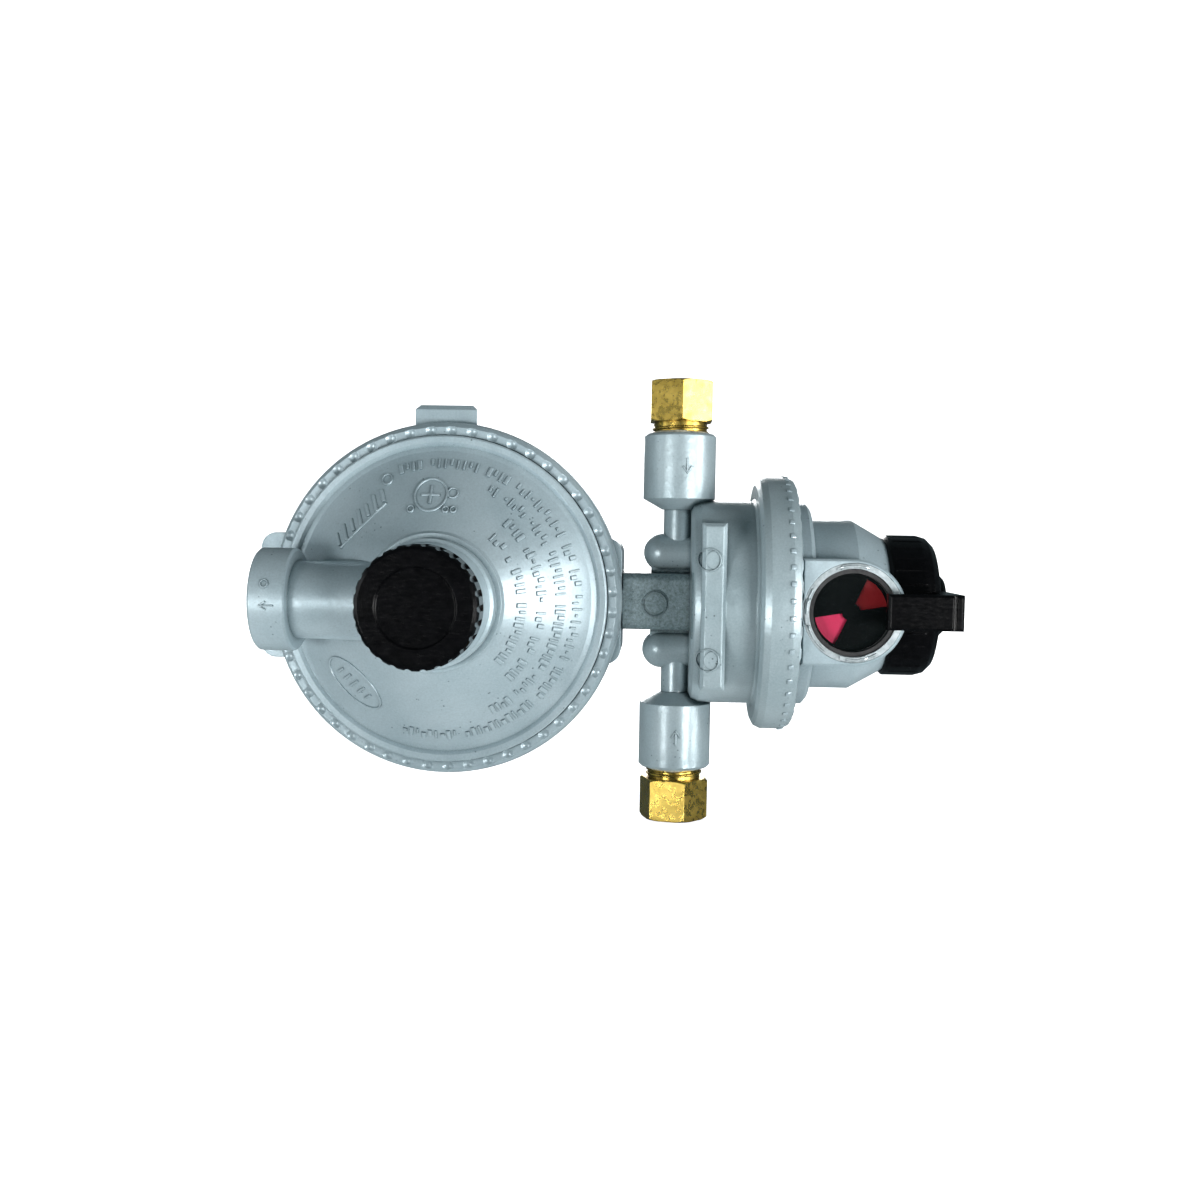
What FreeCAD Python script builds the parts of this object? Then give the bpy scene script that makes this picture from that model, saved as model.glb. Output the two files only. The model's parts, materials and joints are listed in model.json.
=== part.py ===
import FreeCAD, Part
import math
import os

# Two-stage automatic changeover regulator for bottled propane.
# X runs from the outlet (-X) to the selector knob (+X), Z is up, +Y points at the mounting wall.
# All parts are drawn with y = 0 on the gas-flow axis and moved back by REAR_FACE_Y when saved,
# so the saved origin is the centre of the rear mounting face.

V = FreeCAD.Vector
AXES = {"x": V(1, 0, 0), "y": V(0, 1, 0), "z": V(0, 0, 1)}

# ---- clearances shared by several parts ----
RUN_GAP = 0.05
FIT_GAP = 0.1
SAFE_GAP = 0.4

# ---- diaphragm joint of the second stage (bowl axis = Y) ----
CAVITY_R = 38.0
SPIGOT_R = 8.0
BEAD_WIDTH = 4.2
POCKET_R = CAVITY_R + BEAD_WIDTH
LIP_OVERHANG = 0.4
LIP_WIDTH = 1.6
RIM_WIDTH = 3.0
LIP_INNER_R = POCKET_R - LIP_OVERHANG
LIP_OUTER_R = POCKET_R + LIP_WIDTH
RIM_R = POCKET_R + RIM_WIDTH
LEDGE_Y = -(SPIGOT_R + 1.5)
DIAPHRAGM_THICK = 1.0
BONNET_FLANGE_THICK = 2.3
LIP_THICK = 1.2
BONNET_BACK_Y = LEDGE_Y - DIAPHRAGM_THICK
LIP_BACK_Y = BONNET_BACK_Y - BONNET_FLANGE_THICK
LIP_FRONT_Y = LIP_BACK_Y - LIP_THICK
CRIMP_COUNT = 51
CRIMP_BALL_R = 1.9
CRIMP_DEPTH = 0.6
CRIMP_RING_R = LIP_OUTER_R - 0.85

# ---- flow axis, second stage valve and lever ----
NOZZLE_R = 4.5
NOZZLE_ORIFICE_R = 1.5
NOZZLE_INSIDE_R = 2.6
NOZZLE_BOSS_WALL = 3.5
NOZZLE_BOSS_LEN = 9.0
NOZZLE_TIP_LEN = 4.5
SOCKET_WALL = 1.5
NOZZLE_BOSS_R = NOZZLE_R + NOZZLE_BOSS_WALL
NOZZLE_BOSS_LEFT_X = CAVITY_R - NOZZLE_BOSS_LEN
NOZZLE_TIP_X = NOZZLE_BOSS_LEFT_X - NOZZLE_TIP_LEN
SOCKET_FLOOR_X = CAVITY_R + SOCKET_WALL
NOZZLE_RIGHT_X = SOCKET_FLOOR_X - FIT_GAP
PLUNGER_R = 3.4
PLUNGER_LEN = 13.2
VALVE_OPENING = 0.75
SEAT_DISC_RIM = 0.7
LEVER_SHORT_ARM = 4.0
LEVER_PIVOT_SETBACK = 10.5
LEVER_HALF_THICK = 1.2
LEVER_HUB_WALL = 0.85
LEVER_TIP_R = 1.0
PIN_R = 0.8
GUIDE_WALL = 1.1
GUIDE_BORE_R = PLUNGER_R + RUN_GAP
GUIDE_R = NOZZLE_R + GUIDE_WALL
GUIDE_EAR_Z = 4.6
LEVER_HOLE_R = PIN_R + RUN_GAP
LEVER_HUB_R = LEVER_HOLE_R + LEVER_HUB_WALL
PIVOT_X = NOZZLE_TIP_X - LEVER_PIVOT_SETBACK
PIVOT_Y = PLUNGER_R + 1.35
LEVER_TIP_Y = PIVOT_Y - LEVER_SHORT_ARM
PLUNGER_RIGHT_X = NOZZLE_TIP_X - 1.5
PLUNGER_LEFT_X = PLUNGER_RIGHT_X - PLUNGER_LEN
GUIDE_LEFT_X = PLUNGER_LEFT_X - 0.3
SEAT_DISC_R = PLUNGER_R - SEAT_DISC_RIM
SEAT_DISC_FACE_X = NOZZLE_TIP_X - VALVE_OPENING

# ---- pusher stem ----
STEM_R = 1.5
STEM_FLANGE_R = 6.0
STEM_COLLAR_WIDTH = 1.9
FORK_THICK = 1.6
FORK_GAP = 1.4
STEM_TAIL = 3.65
STEM_STROKE_ROOM = 2.6
STEM_HOLE_R = STEM_R + SAFE_GAP
STEM_COLLAR_R = STEM_R + STEM_COLLAR_WIDTH
STEM_BACK_Y = PIVOT_Y + STEM_TAIL

# ---- second stage housing ----
FLOOR_THICK = 3.0
MOUNT_BOSS_HEIGHT = 4.0
CAVITY_FLOOR_Y = STEM_BACK_Y + STEM_STROKE_ROOM
BODY_BACK_Y = CAVITY_FLOOR_Y + FLOOR_THICK
REAR_FACE_Y = BODY_BACK_Y + MOUNT_BOSS_HEIGHT
HOUSING_LEFT_X = -(RIM_R + 3.8)
HOUSING_RIGHT_X = RIM_R - 0.2
HOUSING_HALF_Z = 16.3
HOUSING_FRONT_Y = LEDGE_Y + 0.5
HOUSING_CORNER = 4.0
OUTLET_BORE_R = 7.5
OUTLET_BORE_LEN = 10.0
OUTLET_PASSAGE_R = 5.5
SOCKET_R = SPIGOT_R + RUN_GAP
TEST_BOSS_LEFT_X = -9.3
TEST_BOSS_RIGHT_X = 6.8
TEST_BOSS_FRONT_Y = -7.0
TEST_BOSS_BACK_Y = 8.4
TEST_BOSS_HEIGHT = 4.8
TEST_BOSS_TOP_Z = RIM_R + TEST_BOSS_HEIGHT
TEST_BOSS_CHAMFER = 1.2
TEST_PLUG_R = 5.1
TEST_BORE_DEPTH = 8.0
TEST_PASSAGE_R = 2.0
MOUNT_HOLE_SPACING = 38.1
MOUNT_HOLE_R = 2.15
MOUNT_BOSS_WALL = 3.85
MOUNT_BOSS_R = MOUNT_HOLE_R + MOUNT_BOSS_WALL
MOUNT_HOLE_DEPTH = 5.5
BACK_RING_R = 26.0
BACK_RING_WIDTH = 2.0
BACK_RING_HEIGHT = 0.7
BACK_RIB_COUNT = 8
BACK_RIB_WIDTH = 2.0
BACK_RIB_INNER_R = BACK_RING_R - 1.0
BACK_RIB_OUTER_R = RIM_R - 12.0

# ---- vent and bonnet over the second stage ----
VENT_BORE_R = 7.5
VENT_BORE_LEN = 10.1
VENT_SEAT_R = VENT_BORE_R - 0.5
VENT_PASSAGE_R = 4.0
VENT_TUBE_WALL = 2.3
VENT_COLLAR_WALL = 5.1
VENT_COLLAR_LEN = 9.0
VENT_LIP_GAP = 1.4
SCREEN_THICK = 0.4
SCREEN_PITCH = 1.7
SCREEN_HOLE = 1.1
SCREEN_RING_LEN = 1.0
SCREEN_RING_BORE_R = VENT_BORE_R - 1.2
VENT_TUBE_R = VENT_BORE_R + VENT_TUBE_WALL
VENT_COLLAR_R = VENT_BORE_R + VENT_COLLAR_WALL
VENT_Y = LIP_FRONT_Y - VENT_LIP_GAP - VENT_COLLAR_R
VENT_MOUTH_X = -(RIM_R - 2.2)
VENT_FLOOR_X = VENT_MOUTH_X + VENT_BORE_LEN + SCREEN_RING_LEN + SCREEN_THICK
VENT_COLLAR_X = VENT_MOUTH_X + VENT_COLLAR_LEN
BONNET_FLANGE_R = POCKET_R - FIT_GAP
BAND_OUTER_R = LIP_INNER_R - 0.2
BAND_FRONT_Y = LIP_FRONT_Y - 1.6
VALLEY_R = BAND_OUTER_R - 2.7
CONE_FOOT_R = VALLEY_R - 1.3
CONE_FOOT_Y = BAND_FRONT_Y
TOWER_BORE_R = 12.7
TOWER_TOP_R = TOWER_BORE_R + 1.4
TOWER_LOW_R = TOWER_BORE_R + 2.9
TOWER_PAD_R = TOWER_BORE_R + 4.2
CONE_TOP_R = TOWER_BORE_R + 4.7
CONE_TOP_Y = VENT_Y - 3.6
TOWER_STEP_Y = VENT_Y - 10.0
TOWER_FACE_Y = VENT_Y - 18.0

# ---- cap, adjusting screw and springs ----
CAP_HEAD_R = TOWER_TOP_R + 0.3
CAP_HEAD_LEN = 8.5
CAP_RIM_WIDTH = 5.1
CAP_PLUG_WALL = 3.4
CAP_PLUG_LEN = 4.5
CAP_RIB_COUNT = 26
CAP_BACK_Y = TOWER_FACE_Y - 0.5
CAP_FRONT_Y = CAP_BACK_Y - CAP_HEAD_LEN
CAP_RING_R = CAP_HEAD_R - CAP_RIM_WIDTH
CAP_PLUG_R = TOWER_BORE_R - 0.3
CAP_PLUG_END_Y = TOWER_FACE_Y + CAP_PLUG_LEN
CAP_HOLLOW_R = CAP_PLUG_R - CAP_PLUG_WALL
GASKET_OUTER_R = TOWER_TOP_R - 0.2
SCREW_TRAVEL_ROOM = 3.5
SCREW_THICK = 4.5
SEAT_THICK = 1.5
SCREW_R = TOWER_BORE_R - SAFE_GAP
SCREW_FRONT_Y = CAP_PLUG_END_Y + SCREW_TRAVEL_ROOM
SCREW_BACK_Y = SCREW_FRONT_Y + SCREW_THICK
SEAT_R = TOWER_BORE_R - 1.1
SEAT_BACK_Y = SCREW_BACK_Y + SEAT_THICK
MAIN_SPRING_WIRE = 1.8
MAIN_SPRING_TURNS = 6.5
MAIN_SPRING_R = TOWER_BORE_R - 2.2
MAIN_SPRING_INSIDE_R = MAIN_SPRING_R - MAIN_SPRING_WIRE / 2

# ---- diaphragm group ----
PLATE_R = CAVITY_R - 9.0
PLATE_THICK = 1.2
PLATE_FRONT_Y = BONNET_BACK_Y - PLATE_THICK
CONVOLUTION_IN_R = PLATE_R + 1.5
CONVOLUTION_OUT_R = CAVITY_R - 1.5
CONVOLUTION_HEIGHT = 2.4
RELIEF_SPRING_LEN = 7.5
RELIEF_SPRING_WIRE = 1.0
RELIEF_SPRING_TURNS = 5
RELIEF_SPRING_R = STEM_R + 2.1
RETAINER_BACK_Y = PLATE_FRONT_Y - RELIEF_SPRING_LEN
RETAINER_FRONT_Y = RETAINER_BACK_Y - 1.4
RETAINER_R = RELIEF_SPRING_R + 1.2
STEM_FRONT_Y = RETAINER_FRONT_Y - 0.9

# ---- changeover casting (drum axis = X) ----
NECK_LEN = 17.4
FLOW_PASSAGE_R = 4.0
SEAL_THICK = 1.1
NECK_LEFT_X = RIM_R + FIT_GAP
NECK_HALF_Z = SPIGOT_R - 0.65
NECK_HALF_Y = SPIGOT_R - 0.5
SPIGOT_LEFT_X = SOCKET_FLOOR_X + SEAL_THICK
NECK_SEAL_X = SPIGOT_LEFT_X + 2.2
NECK_SEAL_WIRE_R = 0.6
DRUM_LEFT_X = NECK_LEFT_X + NECK_LEN
VALVE_POCKET_R = 3.4
LOBE_WALL = 1.6
LOBE_LEN = 12.2
LOBE_R = VALVE_POCKET_R + LOBE_WALL
LOBE_Z = NECK_HALF_Z + LOBE_R + 0.35
LOBE_LEFT_X = DRUM_LEFT_X - LOBE_LEN
VALVE_POCKET_LEFT_X = LOBE_LEFT_X + 3.0
CHAMBER_R = 23.0
DRUM_WALL = 3.5
DRUM_FLOOR = 9.3
DRUM_EDGE = 2.5
CHAMBER_LEN = 12.0
CHANGE_BEAD_WIDTH = 6.9
CHANGE_DIAPHRAGM_THICK = 0.9
CHANGE_FLANGE_THICK = 2.7
CHANGE_LIP_THICK = 1.6
CHANGE_LIP_OVERHANG = 2.1
FLANGE_WALL = 3.1
FLANGE_SETBACK = 4.8
CHANGE_CRIMPS = 36
DRUM_R = CHAMBER_R + DRUM_WALL
CHAMBER_LEFT_X = DRUM_LEFT_X + DRUM_FLOOR
DIAPHRAGM_LEDGE_X = CHAMBER_LEFT_X + CHAMBER_LEN
CHANGE_POCKET_R = CHAMBER_R + CHANGE_BEAD_WIDTH
CHANGE_LIP_R = CHANGE_POCKET_R - CHANGE_LIP_OVERHANG
CHANGE_LIP_X = DIAPHRAGM_LEDGE_X + CHANGE_DIAPHRAGM_THICK + CHANGE_FLANGE_THICK
FLANGE_R = CHANGE_POCKET_R + FLANGE_WALL
FLANGE_LEFT_X = DIAPHRAGM_LEDGE_X - FLANGE_SETBACK
FLANGE_RIGHT_X = CHANGE_LIP_X + CHANGE_LIP_THICK
PAD_LEFT_X = DRUM_LEFT_X + 2.3
PAD_WIDTH = 6.0
PAD_HEIGHT = 0.9
PAD_HALF_Z = DRUM_R - 6.0
PAD_FRONT_Y = -(DRUM_R + PAD_HEIGHT)
PAD_BACK_Y = -(DRUM_R - 13.5)

# ---- inlet branches and brass fittings ----
INLET_SETBACK = 3.2
INLET_DRILL_R = 2.0
INLET_TUBE_WALL = 1.9
INLET_THREAD_R = 6.35
INLET_BOSS_WALL = 3.05
INLET_BOSS_LEN = 16.9
INLET_THREAD_LEN = 11.2
INLET_X = DRUM_LEFT_X - INLET_SETBACK
INLET_TUBE_R = INLET_DRILL_R + INLET_TUBE_WALL
INLET_BOSS_R = INLET_THREAD_R + INLET_BOSS_WALL
INLET_BOSS_START_Z = DRUM_R + 0.3
INLET_BOSS_FOOT_Z = INLET_BOSS_START_Z - 2.8
INLET_BOSS_END_Z = INLET_BOSS_START_Z + INLET_BOSS_LEN
INLET_THREAD_START_Z = INLET_BOSS_END_Z - INLET_THREAD_LEN
FILTER_LEN = 3.8
FILTER_WALL = 1.8
FILTER_R = INLET_THREAD_R - 1.95
FILTER_START_Z = INLET_THREAD_START_Z - FILTER_LEN - 0.2
HEX_ACROSS_FLATS = 15.875
HEX_LEN = 10.7
HEX_CHAMFER = 0.9
COLLAR_LEN = 3.1
HEX_START_Z = INLET_BOSS_END_Z + COLLAR_LEN
HEX_END_Z = HEX_START_Z + HEX_LEN
FITTING_COLLAR_R = INLET_THREAD_R + 0.55
FLARE_BORE_R = 5.1
FLARE_BORE_LEN = 9.5
FLARE_DRILL_R = 1.6
TOP_HEX_TURN = 2.0
BOTTOM_HEX_TURN = 17.0

# ---- first stage valves ----
SEAT_LEN = 3.0
POPPET_STEM_R = 0.8
POPPET_TAIL_R = 1.2
POPPET_HEAD_LEN = 3.3
POPPET_TAIL_LEN = 5.6
POPPET_OPENING = 1.1
SEAT_RIGHT_X = CHAMBER_LEFT_X - 1.0
SEAT_LEFT_X = SEAT_RIGHT_X - SEAT_LEN
SEAT_ORIFICE_R = POPPET_STEM_R + 0.5
POPPET_R = VALVE_POCKET_R - 0.8
POPPET_RIGHT_X = SEAT_LEFT_X - POPPET_OPENING
POPPET_LEFT_X = POPPET_RIGHT_X - POPPET_HEAD_LEN
POPPET_TAIL_X = POPPET_LEFT_X - POPPET_TAIL_LEN
POPPET_STEM_X = CHAMBER_LEFT_X + 2.0
INLET_SPRING_WIRE = 0.6
INLET_SPRING_TURNS = 6
INLET_SPRING_R = POPPET_R - 0.3

# ---- changeover diaphragm group ----
CHANGE_PLATE_THICK = 1.2
INNER_PLATE_THICK = 1.0
YOKE_STEM_R = 2.0
YOKE_PIN_R = 0.9
YOKE_HALF_Z = 2.2
EAR_THICK = 1.3
EAR_GAP = 0.5
ROCKER_THICK = 2.0
ROCKER_GAP = 1.0
ROCKER_HALF_Y = 1.8
ROCKER_HUB_R = 1.9
CHANGE_SPRING_R = 9.0
CHANGE_SPRING_WIRE = 1.6
CHANGE_SPRING_TURNS = 5
CHANGE_PLATE_LEFT_X = DIAPHRAGM_LEDGE_X + CHANGE_DIAPHRAGM_THICK
CHANGE_PLATE_RIGHT_X = CHANGE_PLATE_LEFT_X + CHANGE_PLATE_THICK
CHANGE_PLATE_R = CHAMBER_R - 6.5
INNER_PLATE_R = CHAMBER_R - 9.0
INNER_PLATE_LEFT_X = DIAPHRAGM_LEDGE_X - INNER_PLATE_THICK
ROCKER_LEFT_X = POPPET_STEM_X + ROCKER_GAP
YOKE_PIN_X = ROCKER_LEFT_X + ROCKER_THICK
ROCKER_HOLE_R = YOKE_PIN_R + RUN_GAP
ROCKER_HALF_Z = LOBE_Z + 2.3
EAR_INNER_Y = ROCKER_HALF_Y + EAR_GAP
EAR_OUTER_Y = EAR_INNER_Y + EAR_THICK

# ---- changeover bonnet and indicator window ----
BELL_BORE_R = 18.5
BELL_WALL = 3.5
BELL_LEN = 11.2
NOSE_LEN = 9.3
NOSE_WALL = 3.2
BASE_RING_LEN = 3.8
BASE_RING_R = CHANGE_LIP_R - 1.5
BASE_RING_X = FLANGE_RIGHT_X + BASE_RING_LEN
BELL_R = BELL_BORE_R + BELL_WALL
BELL_END_X = BASE_RING_X + BELL_LEN
NOSE_X = BELL_END_X + NOSE_LEN
NOSE_R = BELL_R - 5.3
SHAFT_BOSS_R = CHANGE_SPRING_R + 1.5
SHAFT_BOSS_X = BELL_END_X - 2.2
LENS_R = 9.6
LENS_SEAL_WIDTH = 1.1
LENS_RING_WIDTH = 1.4
WINDOW_BOSS_WALL = 0.85
WINDOW_Z = -0.75
WINDOW_X = BASE_RING_X + 8.8
WINDOW_FACE_Y = -(BELL_BORE_R + 8.5)
WINDOW_POCKET_Y = WINDOW_FACE_Y + 2.4
WINDOW_FLOOR_Y = WINDOW_FACE_Y + 6.5
LENS_RING_INNER_R = LENS_R + LENS_SEAL_WIDTH
LENS_RING_OUTER_R = LENS_RING_INNER_R + LENS_RING_WIDTH
LENS_TAB_HALF_WIDTH = 3.1
LENS_TAB_HEIGHT = 0.4
WINDOW_POCKET_R = LENS_RING_OUTER_R + RUN_GAP
WINDOW_BOSS_R = WINDOW_POCKET_R + WINDOW_BOSS_WALL
WINDOW_CHAMBER_R = LENS_RING_INNER_R + 0.2
LENS_FRONT_Y = WINDOW_FACE_Y + 0.8
LENS_BACK_Y = LENS_FRONT_Y + 2.0
MASK_FRONT_Y = LENS_BACK_Y + 1.4
MASK_BACK_Y = MASK_FRONT_Y + 0.5
MASK_R = WINDOW_CHAMBER_R - FIT_GAP
MASK_HUB_R = 2.2
MASK_OPEN_R = LENS_R - 0.7
MASK_OPEN_DEG = 55.0
MASK_OPEN_START = 10.0
DISC_R = LENS_R - FIT_GAP
DISC_FRONT_Y = MASK_BACK_Y + SAFE_GAP
DISC_BACK_Y = DISC_FRONT_Y + 0.5
SPINDLE_R = 1.2
SPINDLE_HOLE_R = SPINDLE_R + RUN_GAP
PINION_R = 1.6
PINION_LEN = 3.5
PINION_BACK_Y = -(SHAFT_BOSS_R + 1.0)
RACK_GAP = 0.3
RACK_THICK = 1.6
RACK_FRONT_Y = PINION_BACK_Y - 2.8
RACK_BACK_Y = PINION_BACK_Y - 0.4
RACK_RIGHT_X = WINDOW_X + 1.7

# ---- selector ----
SHAFT_R = 3.9
CAM_LEN = 3.5
HUB_WALL = 4.1
HUB_LEN = 2.9
KNOB_LEN = 13.1
KNOB_CORNER = 4.5
KNOB_RIBS = 30
SHAFT_HOLE_R = SHAFT_R + RUN_GAP
CAM_R = CHANGE_SPRING_R - 2.5
SHAFT_SEAL_X = NOSE_X - 2.35
SHAFT_LEFT_X = CHANGE_PLATE_RIGHT_X + 5.4
HUB_R = SHAFT_R + HUB_WALL
KNOB_R = NOSE_R + 1.6
KNOB_LEFT_X = NOSE_X - 1.0
KNOB_RIGHT_X = KNOB_LEFT_X + KNOB_LEN
KNOB_RECESS_R = NOSE_R + 0.6
KNOB_RECESS_X = NOSE_X + 0.8
HUB_END_X = KNOB_RIGHT_X + HUB_LEN
SHAFT_RIGHT_X = HUB_END_X - 2.0
KNOB_SCREW_R = 1.6
KNOB_SCREW_LEN = 7.5
LEVER_HALF_Z = 4.3
LEVER_THICK = 3.2
LEVER_ARM_WIDTH = 4.3
LEVER_LEFT_X = WINDOW_X + 7.1
LEVER_RIGHT_X = HUB_END_X - 1.7
LEVER_ARM_LEFT_X = LEVER_RIGHT_X - LEVER_ARM_WIDTH
LEVER_ROOT_Y = -(HUB_R - 0.5)
LEVER_BACK_Y = WINDOW_FACE_Y - 4.0
LEVER_FRONT_Y = LEVER_BACK_Y - LEVER_THICK


# ---------------------------------------------------------------- helpers
def cyl(axis, r, a, b, u=0.0, v=0.0):
    """Cylinder along an axis from a to b; u, v are its other two coordinates in X, Y, Z order."""
    base = {"x": V(a, u, v), "y": V(u, a, v), "z": V(u, v, a)}[axis]
    return Part.makeCylinder(r, b - a, base, AXES[axis])


def cone(axis, ra, rb, a, b, u=0.0, v=0.0):
    """Cone along an axis with radius ra at a and rb at b."""
    base = {"x": V(a, u, v), "y": V(u, a, v), "z": V(u, v, a)}[axis]
    return Part.makeCone(ra, rb, b - a, base, AXES[axis])


def tube(axis, r_out, r_in, a, b, u=0.0, v=0.0):
    return cyl(axis, r_out, a, b, u, v).cut(cyl(axis, r_in, a - 1, b + 1, u, v))


def box(x0, x1, y0, y1, z0, z1):
    return Part.makeBox(x1 - x0, y1 - y0, z1 - z0, V(x0, y0, z0))


def spin(axis, profile):
    """Solid of revolution; the profile lists (position along the axis, radius)."""
    if axis == "x":
        points = [V(a, 0, r) for a, r in profile]
    else:
        points = [V(r, a, 0) for a, r in profile]
    face = Part.Face(Part.makePolygon(points + points[:1]))
    return face.revolve(V(0, 0, 0), AXES[axis], 360)


def fuse(first, *others):
    return first.fuse(list(others)).removeSplitter()


def torus(axis, ring_r, wire_r, at, u=0.0, v=0.0):
    centre = {"x": V(at, u, v), "y": V(u, at, v), "z": V(u, v, at)}[axis]
    return Part.makeTorus(ring_r, wire_r, centre, AXES[axis])


def coil(axis, ring_r, wire, turns, a, b, u=0.0, v=0.0):
    """Compression spring whose outside ends lie at a and b along the axis."""
    length = b - a - wire
    helix = Part.makeHelix(length / turns, length, ring_r)
    r = wire / 2
    outer, inner = V(ring_r + r, 0, 0), V(ring_r - r, 0, 0)
    upper = Part.Arc(outer, V(ring_r, 0, r), inner).toShape()
    lower = Part.Arc(inner, V(ring_r, 0, -r), outer).toShape()
    spring = Part.Wire(helix.Edges).makePipeShell([Part.Wire([upper, lower])], True, True)
    spring.translate(V(0, 0, a + wire / 2))
    if axis == "x":
        spring.rotate(V(0, 0, 0), V(0, 1, 0), 90)
        spring.translate(V(0, u, v))
    if axis == "y":
        spring.rotate(V(0, 0, 0), V(1, 0, 0), -90)
        spring.translate(V(u, 0, v))
    return spring


def hex_prism(axis, across_flats, a, b, turn, u=0.0, v=0.0):
    """Hexagonal prism along Z or Y, turned by an angle about its own axis."""
    points = []
    for i in range(6):
        t = math.radians(60 * i + turn)
        p = across_flats / math.sqrt(3) * math.cos(t)
        q = across_flats / math.sqrt(3) * math.sin(t)
        points.append(V(u + p, v + q, a) if axis == "z" else V(u + p, a, v + q))
    face = Part.Face(Part.makePolygon(points + points[:1]))
    return face.extrude(AXES[axis] * (b - a))


def mirror_z(shape):
    return shape.mirror(V(0, 0, 0), V(0, 0, 1))


def save(name, shape):
    moved = shape.copy()
    moved.translate(V(0, -REAR_FACE_Y, 0))
    moved.exportStep("parts/%s.step" % name)


# ---------------------------------------------------------------- second stage housing
def rounded_housing():
    block = box(HOUSING_LEFT_X, HOUSING_RIGHT_X, HOUSING_FRONT_Y, BODY_BACK_Y, -HOUSING_HALF_Z,
                HOUSING_HALF_Z)
    upright = [e for e in block.Edges if abs(e.Vertexes[0].Y - e.Vertexes[1].Y) > 1]
    return block.makeFillet(HOUSING_CORNER, upright)


def test_boss():
    block = box(TEST_BOSS_LEFT_X, TEST_BOSS_RIGHT_X, TEST_BOSS_FRONT_Y, TEST_BOSS_BACK_Y,
                CAVITY_R, TEST_BOSS_TOP_Z)
    top = [e for e in block.Edges if all(v.Z > TEST_BOSS_TOP_Z - 0.01 for v in e.Vertexes)]
    return block.makeChamfer(TEST_BOSS_CHAMFER, top)


def crimp_balls():
    balls = []
    for i in range(CRIMP_COUNT):
        t = 2 * math.pi * (i + 0.5) / CRIMP_COUNT
        y = LIP_FRONT_Y - CRIMP_BALL_R + CRIMP_DEPTH
        centre = V(CRIMP_RING_R * math.cos(t), y, CRIMP_RING_R * math.sin(t))
        balls.append(Part.makeSphere(CRIMP_BALL_R, centre))
    return Part.makeCompound(balls)


def back_relief():
    """Raised casting ring on the back, with short ribs that run out to the rounded edge."""
    top = BODY_BACK_Y + BACK_RING_HEIGHT
    ring = tube("y", BACK_RING_R + BACK_RING_WIDTH / 2, BACK_RING_R - BACK_RING_WIDTH / 2,
                BODY_BACK_Y - 1, top)
    ribs = []
    for i in range(BACK_RIB_COUNT):
        half = BACK_RIB_WIDTH / 2
        rib = box(BACK_RIB_INNER_R, BACK_RIB_OUTER_R, BODY_BACK_Y - 2, top, -half, half)
        rib.rotate(V(0, 0, 0), V(0, 1, 0), 360.0 * (i + 0.5) / BACK_RIB_COUNT)
        ribs.append(rib)
    return fuse(ring, *ribs)


def regulator_body():
    outer = spin("y", [
        (BODY_BACK_Y, 0), (BODY_BACK_Y, RIM_R - 13.2), (BODY_BACK_Y - 1.4, RIM_R - 9.7),
        (BODY_BACK_Y - 5.5, RIM_R - 5.2), (BODY_BACK_Y - 13.0, RIM_R - 2.0), (LEDGE_Y + 5.5, RIM_R - 0.5),
        (LEDGE_Y + 3.5, RIM_R), (LIP_BACK_Y + 1.8, RIM_R), (LIP_BACK_Y, RIM_R - 0.5),
        (LIP_FRONT_Y, LIP_OUTER_R), (LIP_FRONT_Y, 0)])
    body = fuse(outer, rounded_housing(), test_boss())
    for side in (-1, 1):
        body = body.fuse(cyl("y", MOUNT_BOSS_R, BODY_BACK_Y - 1, REAR_FACE_Y,
                             side * MOUNT_HOLE_SPACING / 2, 0))
    body = fuse(body, back_relief())
    cavity = spin("y", [
        (LIP_FRONT_Y - 1, 0), (LIP_FRONT_Y - 1, LIP_INNER_R), (LIP_BACK_Y, LIP_INNER_R),
        (LIP_BACK_Y, POCKET_R),
        (LEDGE_Y, POCKET_R), (LEDGE_Y, CAVITY_R), (CAVITY_FLOOR_Y - 4, CAVITY_R),
        (CAVITY_FLOOR_Y, CAVITY_R - 4),
        (CAVITY_FLOOR_Y, 0)])
    body = body.cut(cavity)
    nozzle_boss = cyl("x", NOZZLE_BOSS_R, NOZZLE_BOSS_LEFT_X, SOCKET_FLOOR_X)
    web = box(NOZZLE_BOSS_LEFT_X, CAVITY_R, 0, CAVITY_FLOOR_Y + 0.5, 3.0 - NOZZLE_BOSS_R,
              NOZZLE_BOSS_R - 3.0)
    body = fuse(body, nozzle_boss, web)
    body = body.cut(cyl("x", SOCKET_R, SOCKET_FLOOR_X, HOUSING_RIGHT_X + 1))
    body = body.cut(cyl("x", NOZZLE_R, NOZZLE_BOSS_LEFT_X - 1, SOCKET_FLOOR_X + 1))
    outlet_end = HOUSING_LEFT_X + OUTLET_BORE_LEN
    body = body.cut(cyl("x", OUTLET_BORE_R, HOUSING_LEFT_X - 1, outlet_end))
    body = body.cut(cyl("x", OUTLET_PASSAGE_R, outlet_end - 1, -CAVITY_R + 2))
    test_x = (TEST_BOSS_LEFT_X + TEST_BOSS_RIGHT_X) / 2
    test_y = (TEST_BOSS_FRONT_Y + TEST_BOSS_BACK_Y) / 2
    bore_floor = TEST_BOSS_TOP_Z - TEST_BORE_DEPTH
    body = body.cut(cyl("z", TEST_PLUG_R, bore_floor, TEST_BOSS_TOP_Z + 1, test_x, test_y))
    body = body.cut(cyl("z", TEST_PASSAGE_R, CAVITY_R - 1, TEST_BOSS_TOP_Z, test_x, test_y))
    for side in (-1, 1):
        x = side * MOUNT_HOLE_SPACING / 2
        body = body.cut(cyl("y", MOUNT_HOLE_R, REAR_FACE_Y - MOUNT_HOLE_DEPTH, REAR_FACE_Y + 1, x, 0))
    return body.cut(crimp_balls())


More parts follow.
